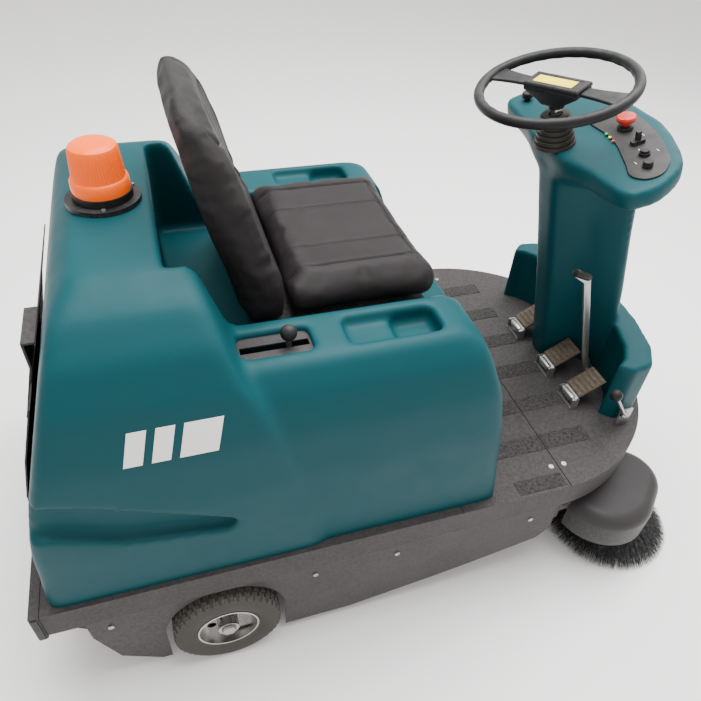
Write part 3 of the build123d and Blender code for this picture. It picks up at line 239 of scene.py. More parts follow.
def makeFinish(name, color, rough=0.5, roughSpread=0.12, metal=0.0, grain=600.0, pebble=0.5, bump=0.15,
               deep=0.0004, worn=(0.6, 0.6, 0.6), wear=0.3, dust=0.12, drift=0.12, coat=0.0, sheen=0.0,
               dustColor=(0.55, 0.52, 0.48)):
    finish = bpy.data.materials.new(name)
    finish.use_nodes = True
    tree = finish.node_tree
    shader = tree.nodes["Principled BSDF"]
    wearNode = addNode(tree, "ShaderNodeGroup")
    wearNode.node_tree = wearGroup
    wearNode.inputs["Color"].default_value = (*color, 1)
    wearNode.inputs["Worn Color"].default_value = (*worn, 1)
    wearNode.inputs["Dust Color"].default_value = (*dustColor, 1)
    wearNode.inputs["Wear"].default_value = wear
    wearNode.inputs["Dust"].default_value = dust
    wearNode.inputs["Drift"].default_value = drift
    tree.links.new(wearNode.outputs["Color"], shader.inputs["Base Color"])
    grainNode = addNode(tree, "ShaderNodeGroup")
    grainNode.node_tree = grainGroup
    grainNode.inputs["Scale"].default_value = grain
    grainNode.inputs["Pebble"].default_value = pebble
    bumpNode = addNode(tree, "ShaderNodeBump")
    bumpNode.inputs["Strength"].default_value = bump
    bumpNode.inputs["Distance"].default_value = deep
    tree.links.new(grainNode.outputs["Height"], bumpNode.inputs["Height"])
    tree.links.new(bumpNode.outputs["Normal"], shader.inputs["Normal"])
    coord = addNode(tree, "ShaderNodeTexCoord").outputs["Object"]
    smear = ramp(tree, noiseNode(tree, coord, 14.0, 7, 0.6), 0.3, 0.75)
    spread = mathNode(tree, "MULTIPLY", smear, roughSpread)
    tree.links.new(mathNode(tree, "ADD", spread, rough - roughSpread / 2), shader.inputs["Roughness"])
    shader.inputs["Metallic"].default_value = metal
    if not metal:
        shader.inputs["Specular IOR Level"].default_value = 0.14
    shader.inputs["Coat Weight"].default_value = coat
    shader.inputs["Sheen Weight"].default_value = sheen
    return finish


finishes = {
    "tealPlastic": makeFinish("tealPlastic", (0.0015, 0.052, 0.062), rough=0.5, grain=420, bump=0.16,
                              worn=(0.01, 0.08, 0.09), wear=0.3, dust=0.03, drift=0.06,
                              dustColor=(0.04, 0.12, 0.13)),
    "greyPaint": makeFinish("greyPaint", (0.034, 0.031, 0.031), rough=0.5, grain=900, bump=0.10,
                            worn=(0.10, 0.09, 0.09), wear=0.3, dust=0.04, drift=0.06,
                            dustColor=(0.09, 0.085, 0.085)),
    "skirtGrey": makeFinish("skirtGrey", (0.044, 0.040, 0.040), rough=0.48, grain=900, bump=0.08,
                            worn=(0.12, 0.115, 0.115), wear=0.3, dust=0.04, drift=0.08,
                            dustColor=(0.13, 0.12, 0.12)),
    "dashGrey": makeFinish("dashGrey", (0.030, 0.027, 0.028), rough=0.5, grain=1100, bump=0.15,
                           worn=(0.1, 0.1, 0.1), wear=0.3, dust=0.05, drift=0.05),
    "darkSteel": makeFinish("darkSteel", (0.02, 0.02, 0.022), rough=0.45, grain=700, worn=(0.2, 0.2, 0.2),
                            wear=0.5),
    "zincSteel": makeFinish("zincSteel", (0.42, 0.42, 0.41), rough=0.36, metal=0.9, grain=260, pebble=0.9,
                            bump=0.1, worn=(0.6, 0.6, 0.58), drift=0.3),
    "wheelSteel": makeFinish("wheelSteel", (0.55, 0.54, 0.53), rough=0.22, metal=1.0, grain=180, bump=0.06,
                             worn=(0.7, 0.7, 0.7), drift=0.35, dust=0.2),
    "tyreRubber": makeFinish("tyreRubber", (0.066, 0.062, 0.056), rough=0.82, grain=500, bump=0.18,
                             worn=(0.15, 0.14, 0.13), wear=0.4, dust=0.22, drift=0.25,
                             dustColor=(0.16, 0.145, 0.13)),
    "frontRubber": makeFinish("frontRubber", (0.03, 0.03, 0.03), rough=0.8, bump=0.3, wear=0.5),
    "blackPlastic": makeFinish("blackPlastic", (0.012, 0.012, 0.013), rough=0.42, grain=900, bump=0.25,
                               worn=(0.08, 0.08, 0.08), wear=0.35, dust=0.06),
    "gripTape": makeFinish("gripTape", (0.017, 0.0155, 0.0155), rough=0.85, grain=1500, pebble=1.0, bump=0.6,
                           deep=0.0006, worn=(0.10, 0.09, 0.09), wear=0.4, dust=0.08, drift=0.08,
                           dustColor=(0.12, 0.11, 0.11)),
    "pedalRubber": makeFinish("pedalRubber", (0.060, 0.045, 0.032), rough=0.78, grain=700, bump=0.4,
                              worn=(0.16, 0.13, 0.10), wear=0.7, dust=0.3, dustColor=(0.17, 0.14, 0.11)),
    "flapRubber": makeFinish("flapRubber", (0.014, 0.014, 0.014), rough=0.6, bump=0.25, wear=0.3),
    "bootRubber": makeFinish("bootRubber", (0.034, 0.029, 0.026), rough=0.55, grain=300, bump=0.08,
                             worn=(0.07, 0.06, 0.055), wear=0.2, dust=0.03, drift=0.08),
    "bristle": makeFinish("bristle", (0.006, 0.006, 0.007), rough=0.38, grain=300, bump=0.1, wear=0.1,
                          dust=0.03),
    "redPlastic": makeFinish("redPlastic", (0.60, 0.030, 0.022), rough=0.34, grain=800, bump=0.08,
                             worn=(0.7, 0.2, 0.15), wear=0.3, dust=0.05, drift=0.06, coat=0.2),
    "yellowLabel": makeFinish("yellowLabel", (0.90, 0.74, 0.02), rough=0.5, bump=0.05, wear=0.1, dust=0.0,
                              drift=0.05),
    "whiteMark": makeFinish("whiteMark", (0.80, 0.80, 0.78), rough=0.4, bump=0.05, wear=0.2, dust=0.05,
                            drift=0.05),
    "greenLamp": makeFinish("greenLamp", (0.03, 0.45, 0.08), rough=0.25, bump=0.03),
    "batteryCase": makeFinish("batteryCase", (0.02, 0.02, 0.022), rough=0.4, bump=0.15),
}


def buildVinyl():
    # seat vinyl: pebbled grain with finer creases
    vinyl = makeFinish("seatVinyl", (0.015, 0.0125, 0.0132), rough=0.46, roughSpread=0.16, grain=950,
                       pebble=1.1, bump=0.55, deep=0.0007, worn=(0.05, 0.042, 0.045), wear=0.2, dust=0.06,
                       drift=0.15, dustColor=(0.06, 0.05, 0.052))
    return vinyl


def buildLens():
    # amber lens: see-through colour with a painted glow, so that it stays bright indoors
    lens = makeFinish("amberLens", (0.92, 0.11, 0.0), rough=0.35, grain=160, bump=0.05,
                      worn=(1.0, 0.30, 0.01), wear=0.4, dust=0.0, drift=0.0, coat=0.1)
    shader = lens.node_tree.nodes["Principled BSDF"]
    # painted glow: the lens is made to shine from within
    shader.inputs["Emission Color"].default_value = (1.0, 0.14, 0.0, 1)
    shader.inputs["Emission Strength"].default_value = 0.22
    return lens


finishes["seatVinyl"] = buildVinyl()
finishes["amberLens"] = buildLens()
print("finishes ready")

nodeFinish = {
    "greyPaint": ["frame_rail", "crossmembers", "floor_plate_front", "floor_plate_rear", "body_deck",
                  "lever_bracket", "filter_box", "hopper_crossbar", "hopper_bin", "hopper_panel",
                  "brush_tunnel"],
    "darkSteel": ["front_drive_hub", "front_fork", "brush_arms", "side_brush_arm", "seat_frame",
                  "seat_hinge"],
    "zincSteel": ["axle_brackets", "steering_shaft", "floor_brackets", "parking_lever", "screws"],
    "wheelSteel": ["rear_rim_right", "rear_rim_left"],
    "tealPlastic": ["rear_cover", "steering_column"],
    "tyreRubber": ["rear_tyre_right", "rear_tyre_left"],
    "frontRubber": ["front_tyre"],
    "blackPlastic": ["brush_lever", "suction_fan", "steering_wheel", "steering_pad", "dash_panel",
                     "key_switch", "horn_button", "lamp_knob", "console_lever", "side_brush_lever",
                     "side_brush_plate", "seat_pan", "beacon_base", "charger_inlet"],
    "gripTape": ["grip_strips"],
    "flapRubber": ["front_flap", "rear_flap"],
    "bootRubber": ["steering_boot"],
    "bristle": ["main_brush", "side_brush_bristles"],
    "pedalRubber": ["drive_pedal", "brake_pedal", "flap_pedal"],
    "redPlastic": ["emergency_stop"],
    "seatVinyl": ["seat_cushion", "seat_back"],
    "amberLens": ["beacon_lens"],
    "batteryCase": ["batteries"],
    "sideGrey": ["side_brush_hood"],
    "skirtGrey": ["skirts"],
}
finishes["sideGrey"] = makeFinish("hoodGrey", (0.034, 0.031, 0.032), rough=0.42, grain=500, bump=0.08,
                                  worn=(0.15, 0.14, 0.14), wear=0.3, dust=0.05, drift=0.08,
                                  dustColor=(0.15, 0.14, 0.14))
for finishName, nodeNames in nodeFinish.items():
    for nodeName in nodeNames:
        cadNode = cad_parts[nodeName]
        for number in range(max(1, len(cadNode.material_slots))):
            if cadNode.material_slots:
                cadNode.material_slots[number].material = finishes[finishName]
            else:
                cadNode.data.materials.append(finishes[finishName])
print("frame nodes painted")


# modelling steps that many pieces share
def named(name, finishName):
    piece = bpy.context.object
    piece.name = name
    piece.data.name = name
    piece.data.materials.clear()
    piece.data.materials.append(finishes[finishName])
    return piece


def applyModifier(piece, kind, **values):
    activate(piece)
    modifier = piece.modifiers.new(kind.lower(), kind)
    for key, value in values.items():
        setattr(modifier, key, value)
    bpy.ops.object.modifier_apply(modifier=modifier.name)


def bevelEdges(piece, width, segments):
    applyModifier(piece, "BEVEL", width=width, segments=segments, limit_method="ANGLE")


def linkPiece(name, mesh, finishName):
    # a mesh made point by point becomes a piece with its finish
    piece = bpy.data.objects.new(name, mesh)
    bpy.context.scene.collection.objects.link(piece)
    mesh.materials.append(finishes[finishName])
    return piece


def settle(piece):
    # puts the piece's place and turn in its mesh
    activate(piece)
    bpy.ops.object.transform_apply(location=True, rotation=True, scale=True)


def loftRings(name, finishName, rings):
    # a circle is laid on the first ring, then drawn out ring by ring
    deselectAll()
    bpy.ops.mesh.primitive_circle_add(vertices=len(rings[0]), radius=1, fill_type="NGON", location=(0, 0, 0))
    piece = named(name, finishName)
    for vertex, place in zip(piece.data.vertices, rings[0]):
        vertex.co = place
    shape = bmesh.new()
    shape.from_mesh(piece.data)
    shape.verts.ensure_lookup_table()
    lastVerts = list(shape.verts)
    lastFace = shape.faces[:][0]
    for ring in rings[1:]:
        drawn = bmesh.ops.extrude_face_region(shape, geom=[lastFace])
        newVerts = [item for item in drawn["geom"] if isinstance(item, bmesh.types.BMVert)]
        ordered = [min(newVerts, key=lambda v: (v.co - old.co).length) for old in lastVerts]
        places = [Vector(place) for place in ring]
        for vertex, place in zip(ordered, places):
            vertex.co = place
        if ring is not rings[1]:
            bmesh.ops.delete(shape, geom=[lastFace], context="FACES_ONLY")
        lastFace = [item for item in drawn["geom"] if isinstance(item, bmesh.types.BMFace)][0]
        lastVerts = ordered
    bmesh.ops.recalc_face_normals(shape, faces=shape.faces)
    shape.to_mesh(piece.data)
    shape.free()
    return piece


def prism(name, outline, along, low, high):
    # an outline drawn out along Y (points are x, z), X (points are y, z) or Z (points are x, y)
    rings = []
    for reach in (low, high):
        if along == "Y":
            rings.append([at(a, reach, b) for a, b in outline])
        elif along == "X":
            rings.append([at(reach, a, b) for a, b in outline])
        else:
            rings.append([at(a, b, reach) for a, b in outline])
    return loftRings(name, "tealPlastic", rings)


def combine(piece, tool, operation):
    applyModifier(piece, "BOOLEAN", operation=operation, object=tool, solver="EXACT")
    bpy.data.objects.remove(tool, do_unlink=True)


def soften(piece, voxel, rounds, factor=0.5):
    applyModifier(piece, "REMESH", mode="VOXEL", voxel_size=voxel)
    if rounds:
        applyModifier(piece, "SMOOTH", factor=factor, iterations=rounds)


def trimBelow(piece, height):
    activate(piece)
    bpy.ops.object.mode_set(mode="EDIT")
    bpy.ops.mesh.select_all(action="SELECT")
    bpy.ops.mesh.bisect(plane_co=(0, 0, height), plane_no=(0, 0, 1), use_fill=True, clear_inner=True)
    bpy.ops.object.mode_set(mode="OBJECT")


def smoothShade(piece, degrees=40):
    activate(piece)
    bpy.ops.object.shade_smooth_by_angle(angle=math.radians(degrees))


def roundedBox(name, finishName, low, high, bevel, steps=3):
    deselectAll()
    middle = (Vector(low) + Vector(high)) / 2
    size = Vector(high) - Vector(low)
    bpy.ops.mesh.primitive_cube_add(size=1, location=middle, scale=size)
    piece = named(name, finishName)
    settle(piece)
    bevelEdges(piece, bevel, steps)
    smoothShade(piece)
    return piece


def finishPiece(piece, body, slotName, *nodes):
    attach(piece, body)
    if nodes:
        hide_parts(*nodes)


# the rear cover: a tower and two ledges run together, then the well, trays, slot and grooves cut
cover = {
    "tower": [(-0.645, 0.300), (-0.645, 0.350), (-0.631, 0.510), (-0.610, 0.600), (-0.573, 0.720),
              (-0.544, 0.810), (-0.518, 0.885), (-0.480, 0.922), (-0.292, 0.922), (-0.245, 0.790),
              (-0.209, 0.723), (-0.172, 0.607), (-0.129, 0.456), (-0.107, 0.334), (-0.104, 0.300)],
    "towerFront": [(0.435, 0.300), (0.437, 0.560), (0.428, 0.680), (0.403, 0.775), (0.365, 0.845),
                   (0.310, 0.893), (0.238, 0.922)],
    "ledge": [(-0.400, 0.300), (-0.400, 0.783), (0.165, 0.783), (0.205, 0.763), (0.245, 0.650),
              (0.266, 0.500), (0.290, 0.334), (0.293, 0.300)],
    "ledgeFront": [(0.427, 0.300), (0.427, 0.560), (0.416, 0.665), (0.392, 0.735), (0.356, 0.783)],
    "wellHalf": 0.236, "wellFloor": 0.705, "scoop": -0.337, "ledgeTop": 0.783, "ledgeY": 0.298,
    "tray": (-0.048, 0.130, 0.020, 0.0360, 0.10), "cup": (0.046, 0.1296, 0.038, 0.0357, 0.09),
    "slot": (-0.240, -0.110, 0.031, 0.230),
    "groove": [(-0.72, 0.655), (-0.72, 0.555), (-0.58, 0.541), (-0.476, 0.492), (-0.300, 0.462),
               (-0.278, 0.478), (-0.292, 0.496), (-0.446, 0.574), (-0.572, 0.621)],
    "grooveY": 0.414, "bodyVoxel": 0.0085, "voxel": 0.0066,
}


def bothSides(half):
    return half + [(-y, z) for y, z in reversed(half)]


def buildCover():
    piece = prism("coverShell", cover["tower"], "Y", -0.6, 0.6)
    combine(piece, prism("cutter", bothSides(cover["towerFront"]), "X", -1, 1), "INTERSECT")
    ledges = prism("ledgeBlock", cover["ledge"], "Y", -0.6, 0.6)
    combine(ledges, prism("cutter", bothSides(cover["ledgeFront"]), "X", -1, 1), "INTERSECT")
    soften(ledges, cover["bodyVoxel"], 26)
    soften(piece, cover["bodyVoxel"], 18)
    combine(piece, ledges, "UNION")
    soften(piece, cover["bodyVoxel"], 3)
    half = cover["wellHalf"]
    outline = [(cover["scoop"], -half), (0.5, -half), (0.5, half), (cover["scoop"], half)]
    well = prism("cutter", outline, "Z", cover["wellFloor"], 1.2)
    combine(piece, well, "DIFFERENCE")
    for side in (-1, 1):
        for start, end, depth, half, above in (cover["tray"], cover["cup"]):
            low = at(start, side * cover["ledgeY"] - half, cover["ledgeTop"] - depth)
            high = at(end, side * cover["ledgeY"] + half, cover["ledgeTop"] + above)
            cutter = roundedBox("cutter", "tealPlastic", low, high, 0.012)
            combine(piece, cutter, "DIFFERENCE")
        groove = prism("cutter", cover["groove"], "Y", side * cover["grooveY"], side * 0.6)
        combine(piece, groove, "DIFFERENCE")
    start, end, half, depth = cover["slot"]
    low = at(start, -cover["ledgeY"] - half, cover["ledgeTop"] - depth)
    high = at(end, -cover["ledgeY"] + half, cover["ledgeTop"] + 0.1)
    slotCut = roundedBox("cutter", "tealPlastic", low, high, 0.008)
    combine(piece, slotCut, "DIFFERENCE")
    soften(piece, cover["voxel"], 5)
    trimBelow(piece, deckTop)
    smoothShade(piece, 75)
    finishPiece(piece, "chassis", "teal_plastic", "rear_cover")
    return piece


buildCover()
print("cover moulded")


# the steering column with its dash head, and the leg guard round its foot
column = {
    "stations": [(0.300, (0.637, 0.030), (0.719, 0.045), (0.813, 0.124)),
                 (0.334, (0.630, 0.031), (0.710, 0.046), (0.806, 0.124)),
                 (0.450, (0.605, 0.033), (0.680, 0.049), (0.783, 0.124)),
                 (0.600, (0.572, 0.035), (0.640, 0.052), (0.752, 0.124)),
                 (0.760, (0.532, 0.036), (0.615, 0.062), (0.714, 0.120)),
                 (0.880, (0.502, 0.038), (0.596, 0.074), (0.688, 0.120))],
    "dashOrigin": (0.450, 0.940), "dashTilt": 14.4,
    "dash": [(0.034, 0.060), (0.050, 0.130), (0.062, 0.232), (0.096, 0.252), (0.140, 0.248), (0.205, 0.212),
             (0.242, 0.150), (0.272, 0.060)],
    "dashDepth": 0.040, "guardTop": 0.503,
    "guardOuter": [(0.658, 0.258), (0.690, 0.288), (0.745, 0.280), (0.785, 0.222), (0.815, 0.115),
                   (0.825, 0.0)],
    "guardInner": [(0.664, 0.255), (0.688, 0.242), (0.718, 0.200), (0.744, 0.120), (0.778, 0.050),
                   (0.786, 0.0)],
    "voxel": 0.0055,
}
tilt = math.radians(column["dashTilt"])


def onDash(forward, left, height=0.0):
    x = column["dashOrigin"][0] + forward * math.cos(tilt) - height * math.sin(tilt)
    z = column["dashOrigin"][1] + forward * math.sin(tilt) + height * math.cos(tilt)
    return at(x, left, z)


def stationRing(height, rear, middle, front):
    half = [(rear[0], 0), (rear[0], rear[1]), (middle[0], middle[1]), (front[0] - 0.03, front[1]),
            (front[0], front[1] - 0.03), (front[0], 0)]
    ring = half + [(x, -y) for x, y in half[-2:0:-1]]
    return [at(x, y, height) for x, y in ring]


def spreadRing(points, count):
    # the same closed line with evenly spaced points, starting at its rearmost middle
    lengths = [(points[i] - points[(i + 1) % len(points)]).length for i in range(len(points))]
    total = sum(lengths)
    ring = []
    for step in range(count):
        left = total * step / count
        index = 0
        while left > lengths[index]:
            left -= lengths[index]
            index += 1
        ring.append(points[index].lerp(points[(index + 1) % len(points)], left / lengths[index]))
    return ring


def curvedOutline(points, steps=8):
    # a closed smooth line through the points
    line = []
    total = len(points)
    for index in range(total):
        a, b, c, d = (Vector(points[(index + shift) % total]) for shift in (-1, 0, 1, 2))
        for step in range(steps):
            t = step / steps
            line.append(0.5 * (2 * b + (c - a) * t + (2 * a - 5 * b + 4 * c - d) * t * t
                               + (3 * b - a - 3 * c + d) * t ** 3))
    return [tuple(point) for point in line]


def buildColumn():
    stations = [spreadRing(stationRing(*station), 48) for station in column["stations"]]
    body = loftRings("columnShell", "tealPlastic", stations)
    half = [(0.034, 0.0)] + column["dash"] + [(0.274, 0.0)]
    outline = curvedOutline(half + [(x, -y) for x, y in half[-2:0:-1]])
    lower = spreadRing([onDash(x, y, -column["dashDepth"]) for x, y in outline], 48)
    flare = loftRings("flare", "tealPlastic", [stations[-2], stations[-1], lower])
    head = loftRings("dashHead", "tealPlastic",
                     [[onDash(x, y, -column["dashDepth"] - 0.002) for x, y in outline],
                      [onDash(x, y) for x, y in outline]])
    soften(body, column["voxel"], 4)
    soften(flare, column["voxel"], 4)
    soften(head, column["voxel"], 5)
    combine(body, flare, "UNION")
    combine(body, head, "UNION")
    guard = column["guardOuter"] + [(x, -y) for x, y in column["guardOuter"][-2::-1]]
    inner = column["guardInner"] + [(x, -y) for x, y in column["guardInner"][-2::-1]]
    wall = prism("guardWall", guard + inner[::-1], "Z", 0.300, column["guardTop"])
    soften(wall, column["voxel"], 6)
    combine(body, wall, "UNION")
    soften(body, column["voxel"], 9)
    trimBelow(body, deckTop)
    smoothShade(body, 75)
    finishPiece(body, "chassis", "teal_plastic", "steering_column")


buildColumn()
print("column moulded")


# the seat: foam shapes pressed out under their covers, then the sewn seams
seat = {
    "cushion": [(-0.127, 0.215, 0.748), (0.171, 0.215, 0.748)], "cushionTop": 0.810, "voxel": 0.0065,
    "frames": 14, "pressure": 4.0, "cap": 0.010, "seamY": 0.074, "borderY": 0.152, "frontSeam": 0.138,
    "seamDepth": 0.006, "seamWidth": 0.0042,
    "back": [(-0.199, 0.752), (-0.206, 0.782), (-0.224, 0.861), (-0.246, 0.935), (-0.262, 1.001),
             (-0.277, 1.070), (-0.289, 1.114), (-0.292, 1.136), (-0.283, 1.146), (-0.268, 1.146),
             (-0.254, 1.128), (-0.225, 1.072), (-0.197, 0.992), (-0.180, 0.924), (-0.163, 0.868),
             (-0.141, 0.820), (-0.136, 0.790), (-0.136, 0.752)],
    "backFront": [(0.208, 0.748), (0.214, 0.860), (0.212, 0.982), (0.196, 1.056), (0.160, 1.110),
                  (0.100, 1.141), (0.050, 1.147)],
}


def inflate(piece, cap):
    # pressed out like foam under its cover, but never further than the cap
    rest = [vertex.co.copy() for vertex in piece.data.vertices]
    activate(piece)
    cloth = piece.modifiers.new("foam", "CLOTH")
    cloth.settings.use_pressure = True
    cloth.settings.uniform_pressure_force = seat["pressure"]
    cloth.settings.effector_weights.gravity = 0
    cloth.settings.quality = 4
    cloth.point_cache.frame_end = seat["frames"]
    for number in range(1, seat["frames"] + 1):
        bpy.context.scene.frame_set(number)
    bpy.ops.object.modifier_apply(modifier=cloth.name)
    bpy.context.scene.frame_set(1)
    for vertex, start in zip(piece.data.vertices, rest):
        move = vertex.co - start
        if move.length > cap:
            vertex.co = start + move * (cap / move.length)


def seamDip(distance, width):
    return math.exp(-(distance / width) ** 2)


def sewCushion(piece):
    for vertex in piece.data.vertices:
        place = vertex.co - at(0, 0, 0)
        if place.z < 0.775:
            continue
        side = abs(place.y)
        dish = max(0.0, 1 - (side / seat["borderY"]) ** 4) * 0.010
        inside = 1 / (1 + math.exp((place.x - seat["frontSeam"] - 0.006) / 0.006))
        dip = dish * inside
        if side < seat["borderY"] + 0.01:
            dip += seat["seamDepth"] * seamDip(side - seat["seamY"], seat["seamWidth"]) * inside
        dip += seat["seamDepth"] * 1.3 * seamDip(side - seat["borderY"], seat["seamWidth"]) * inside
        if side < seat["borderY"] + 0.004:
            dip += seat["seamDepth"] * seamDip(place.x - seat["frontSeam"], seat["seamWidth"])
        crease = math.sin(place.x * 95 + 1.5 * math.sin(place.y * 40))
        dip += 0.0016 * crease * inside * seamDip(place.x + 0.09, 0.05)
        vertex.co.z -= dip


def sewBack(piece):
    for vertex in piece.data.vertices:
        place = vertex.co - at(0, 0, 0)
        middle = -0.187 - 0.30 * (place.z - 0.86)
        if place.x < middle - 0.018:
            continue
        side = abs(place.y)
        reach = 1 / (1 + math.exp((place.z - 1.088) / 0.008)) / (1 + math.exp(-(place.z - 0.84) / 0.01))
        dip = 0.012 * max(0.0, 1 - (side / 0.155) ** 4) * reach
        dip += seat["seamDepth"] * 1.2 * seamDip(side - 0.155, seat["seamWidth"]) * reach
        if side < 0.157:
            dip += seat["seamDepth"] * seamDip(side - 0.072, seat["seamWidth"]) * reach
            dip += seat["seamDepth"] * seamDip(place.z - 1.070, seat["seamWidth"])
        crease = math.sin(place.z * 160 + 2.2 * math.sin(place.y * 30))
        dip += 0.0022 * crease * seamDip(place.z - 0.875, 0.03)
        vertex.co.x -= dip


def buildSeat():
    low, high = seat["cushion"]
    base = roundedBox("seatCushionSoft", "seatVinyl", at(low[0], -low[1], low[2]),
                      at(high[0], high[1], seat["cushionTop"]), 0.024, 4)
    for vertex in base.data.vertices:
        place = vertex.co - at(0, 0, 0)
        vertex.co.z += 0.010 * seamDip(abs(place.y) - 0.185, 0.03)
    back = prism("seatBackSoft", seat["back"], "Y", -0.6, 0.6)
    combine(back, prism("cutter", bothSides(seat["backFront"]), "X", -1, 1), "INTERSECT")
    back.data.materials.clear()
    back.data.materials.append(finishes["seatVinyl"])
    for piece, sew, nodeName in ((base, sewCushion, "seat_cushion"), (back, sewBack, "seat_back")):
        soften(piece, seat["voxel"], 8)
        inflate(piece, seat["cap"])
        applyModifier(piece, "SMOOTH", factor=0.5, iterations=4)
        applyModifier(piece, "SUBSURF", levels=1, render_levels=1)
        sew(piece)
        smoothShade(piece, 80)
        finishPiece(piece, "seat", "seat_vinyl", nodeName)


buildSeat()
print("seat sewn")


# the tyres
# radius, width, rim radius and steps round
tyre = {"rear": (0.117, 0.082, 0.0665, 120), "drive": (0.100, 0.064, 0.062, 72), "blockDepth": 0.0026,
        "blockRows": (5, 6, 8, 10, 12, 13), "blockInset": 0.0006}


def buildTyre(name, nodeName, body, slotName, finishName, kind):
    # a half section is spun round the axle, then every other tread face is drawn out into a block
    radius, width, rimRadius, segments = tyre[kind]
    low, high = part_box(nodeName)
    axle = (Vector(low) + Vector(high)) / 2
    half = width / 2
    depth = tyre["blockDepth"]
    section = [(rimRadius + 0.001, -0.80), (rimRadius + 0.010, -0.90), (radius * 0.72, -0.985),
               (radius * 0.83, -1.0), (radius * 0.90, -0.965), (radius * 0.955, -0.86),
               (radius - depth, -0.64), (radius - depth, -0.40), (radius - depth, -0.34),
               (radius - depth, -0.04), (radius - depth, 0.04), (radius - depth, 0.34),
               (radius - depth, 0.40), (radius - depth, 0.64), (radius * 0.955, 0.86), (radius * 0.90, 0.965),
               (radius * 0.83, 1.0), (radius * 0.72, 0.985), (rimRadius + 0.010, 0.90),
               (rimRadius + 0.001, 0.80)]
    shape = bmesh.new()
    rings = []
    for step in range(segments):
        angle = 2 * math.pi * step / segments
        across, up = math.sin(angle), math.cos(angle)
        rings.append([shape.verts.new((axle.x + r * across, axle.y + y * half, axle.z + r * up))
                      for r, y in section])
    blocks = []
    for step in range(segments):
        ring, nextRing = rings[step], rings[(step + 1) % segments]
        for row in range(len(section)):
            after = (row + 1) % len(section)
            face = shape.faces.new((ring[row], ring[after], nextRing[after], nextRing[row]))
            face.smooth = True
            if row in tyre["blockRows"] and (step + row) % 3 != 0:
                blocks.append(face)
    bmesh.ops.recalc_face_normals(shape, faces=shape.faces)
    blocks = [face for face in blocks if face.is_valid]
    bmesh.ops.inset_individual(shape, faces=blocks, thickness=tyre["blockInset"])
    for face in blocks:
        for vertex in face.verts:
            outward = vertex.co - Vector((axle.x, vertex.co.y, axle.z))
            vertex.co += outward.normalized() * (depth - 0.0002)
    mesh = bpy.data.meshes.new(name)
    shape.to_mesh(mesh)
    shape.free()
    piece = linkPiece(name, mesh, finishName)
    smoothShade(piece, 35)
    finishPiece(piece, body, slotName, nodeName)


for sideName in ("right", "left"):
    buildTyre("rearTyre_" + sideName, "rear_tyre_" + sideName, "rear_wheel_" + sideName, "tyre_rubber",
              "tyreRubber", "rear")
buildTyre("driveTyre", "front_tyre", "drive_wheel", "front_rubber", "frontRubber", "drive")
print("tyres fitted")


# the bristles of the disc brush and the roller
disc = {"bottom": 0.171, "low": 0.0008, "root": 0.060, "holes": 30, "rows": 3, "perTuft": 44,
        "thickness": 0.00115}


def bristleMesh(name, roots, tips, thickness):
    # every bristle is a thin three-sided spike with a bend at its middle
    verts = []
    faces = []
    for root, tip, bend in zip(roots, tips, noise.normal(0, 0.004, (len(roots), 3))):
        root = np.array(root)
        tip = np.array(tip)
        along = (tip - root) / np.linalg.norm(tip - root)
        side = np.cross(along, (0.0, 0.0, 1.0) if abs(along[2]) < 0.9 else (1.0, 0.0, 0.0))
        side = side / np.linalg.norm(side)
        other = np.cross(along, side)
        start = len(verts)
        for place, size in ((root, 1.0), ((root + tip) / 2 + bend, 0.9)):
            for turn in range(3):
                angle = 2 * math.pi * turn / 3
                outward = math.cos(angle) * side + math.sin(angle) * other
                verts.append(tuple(place + thickness * size * outward))
        verts.append(tuple(tip))
        for turn in range(3):
            after = (turn + 1) % 3
            faces.append((start + turn, start + after, start + 3 + after, start + 3 + turn))
            faces.append((start + 3 + turn, start + 3 + after, start + 6))
        faces.append((start + 2, start + 1, start))
    mesh = bpy.data.meshes.new(name)
    mesh.from_pydata(verts, [], faces)
    return linkPiece(name, mesh, "bristle")


def buildDiscBristles():
    low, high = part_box("side_brush_bristles")
    middle = (Vector(low) + Vector(high)) / 2
    roots, tips = [], []
    for row in range(disc["rows"]):
        rootRadius = 0.050 + 0.013 * row
        count = disc["holes"] + 8 * row
        for hole in range(count):
            hub = 2 * math.pi * (hole + 0.5 * (row % 2)) / count
            for _ in range(disc["perTuft"]):
                swing = hub + noise.normal(0, 0.055)
                reach = disc["bottom"] - 0.030 * (disc["rows"] - 1 - row) - abs(noise.normal(0, 0.006))
                rise = disc["low"] + abs(noise.normal(0, 0.004))
                startAngle = hub + noise.normal(0, 0.03)
                startRadius = rootRadius + noise.normal(0, 0.002)
                roots.append((middle.x + startRadius * math.cos(startAngle),
                              middle.y + startRadius * math.sin(startAngle), disc["root"] + 0.012))
                tips.append((middle.x + reach * math.cos(swing), middle.y + reach * math.sin(swing), rise))
    piece = bristleMesh("discBristles", roots, tips, disc["thickness"])
    finishPiece(piece, "side_disc", "bristle", "side_brush_bristles")


roller = {"core": 0.062, "tip": 0.129, "rows": 8, "tufts": 64, "perTuft": 7, "half": 0.322,
          "thickness": 0.0011}


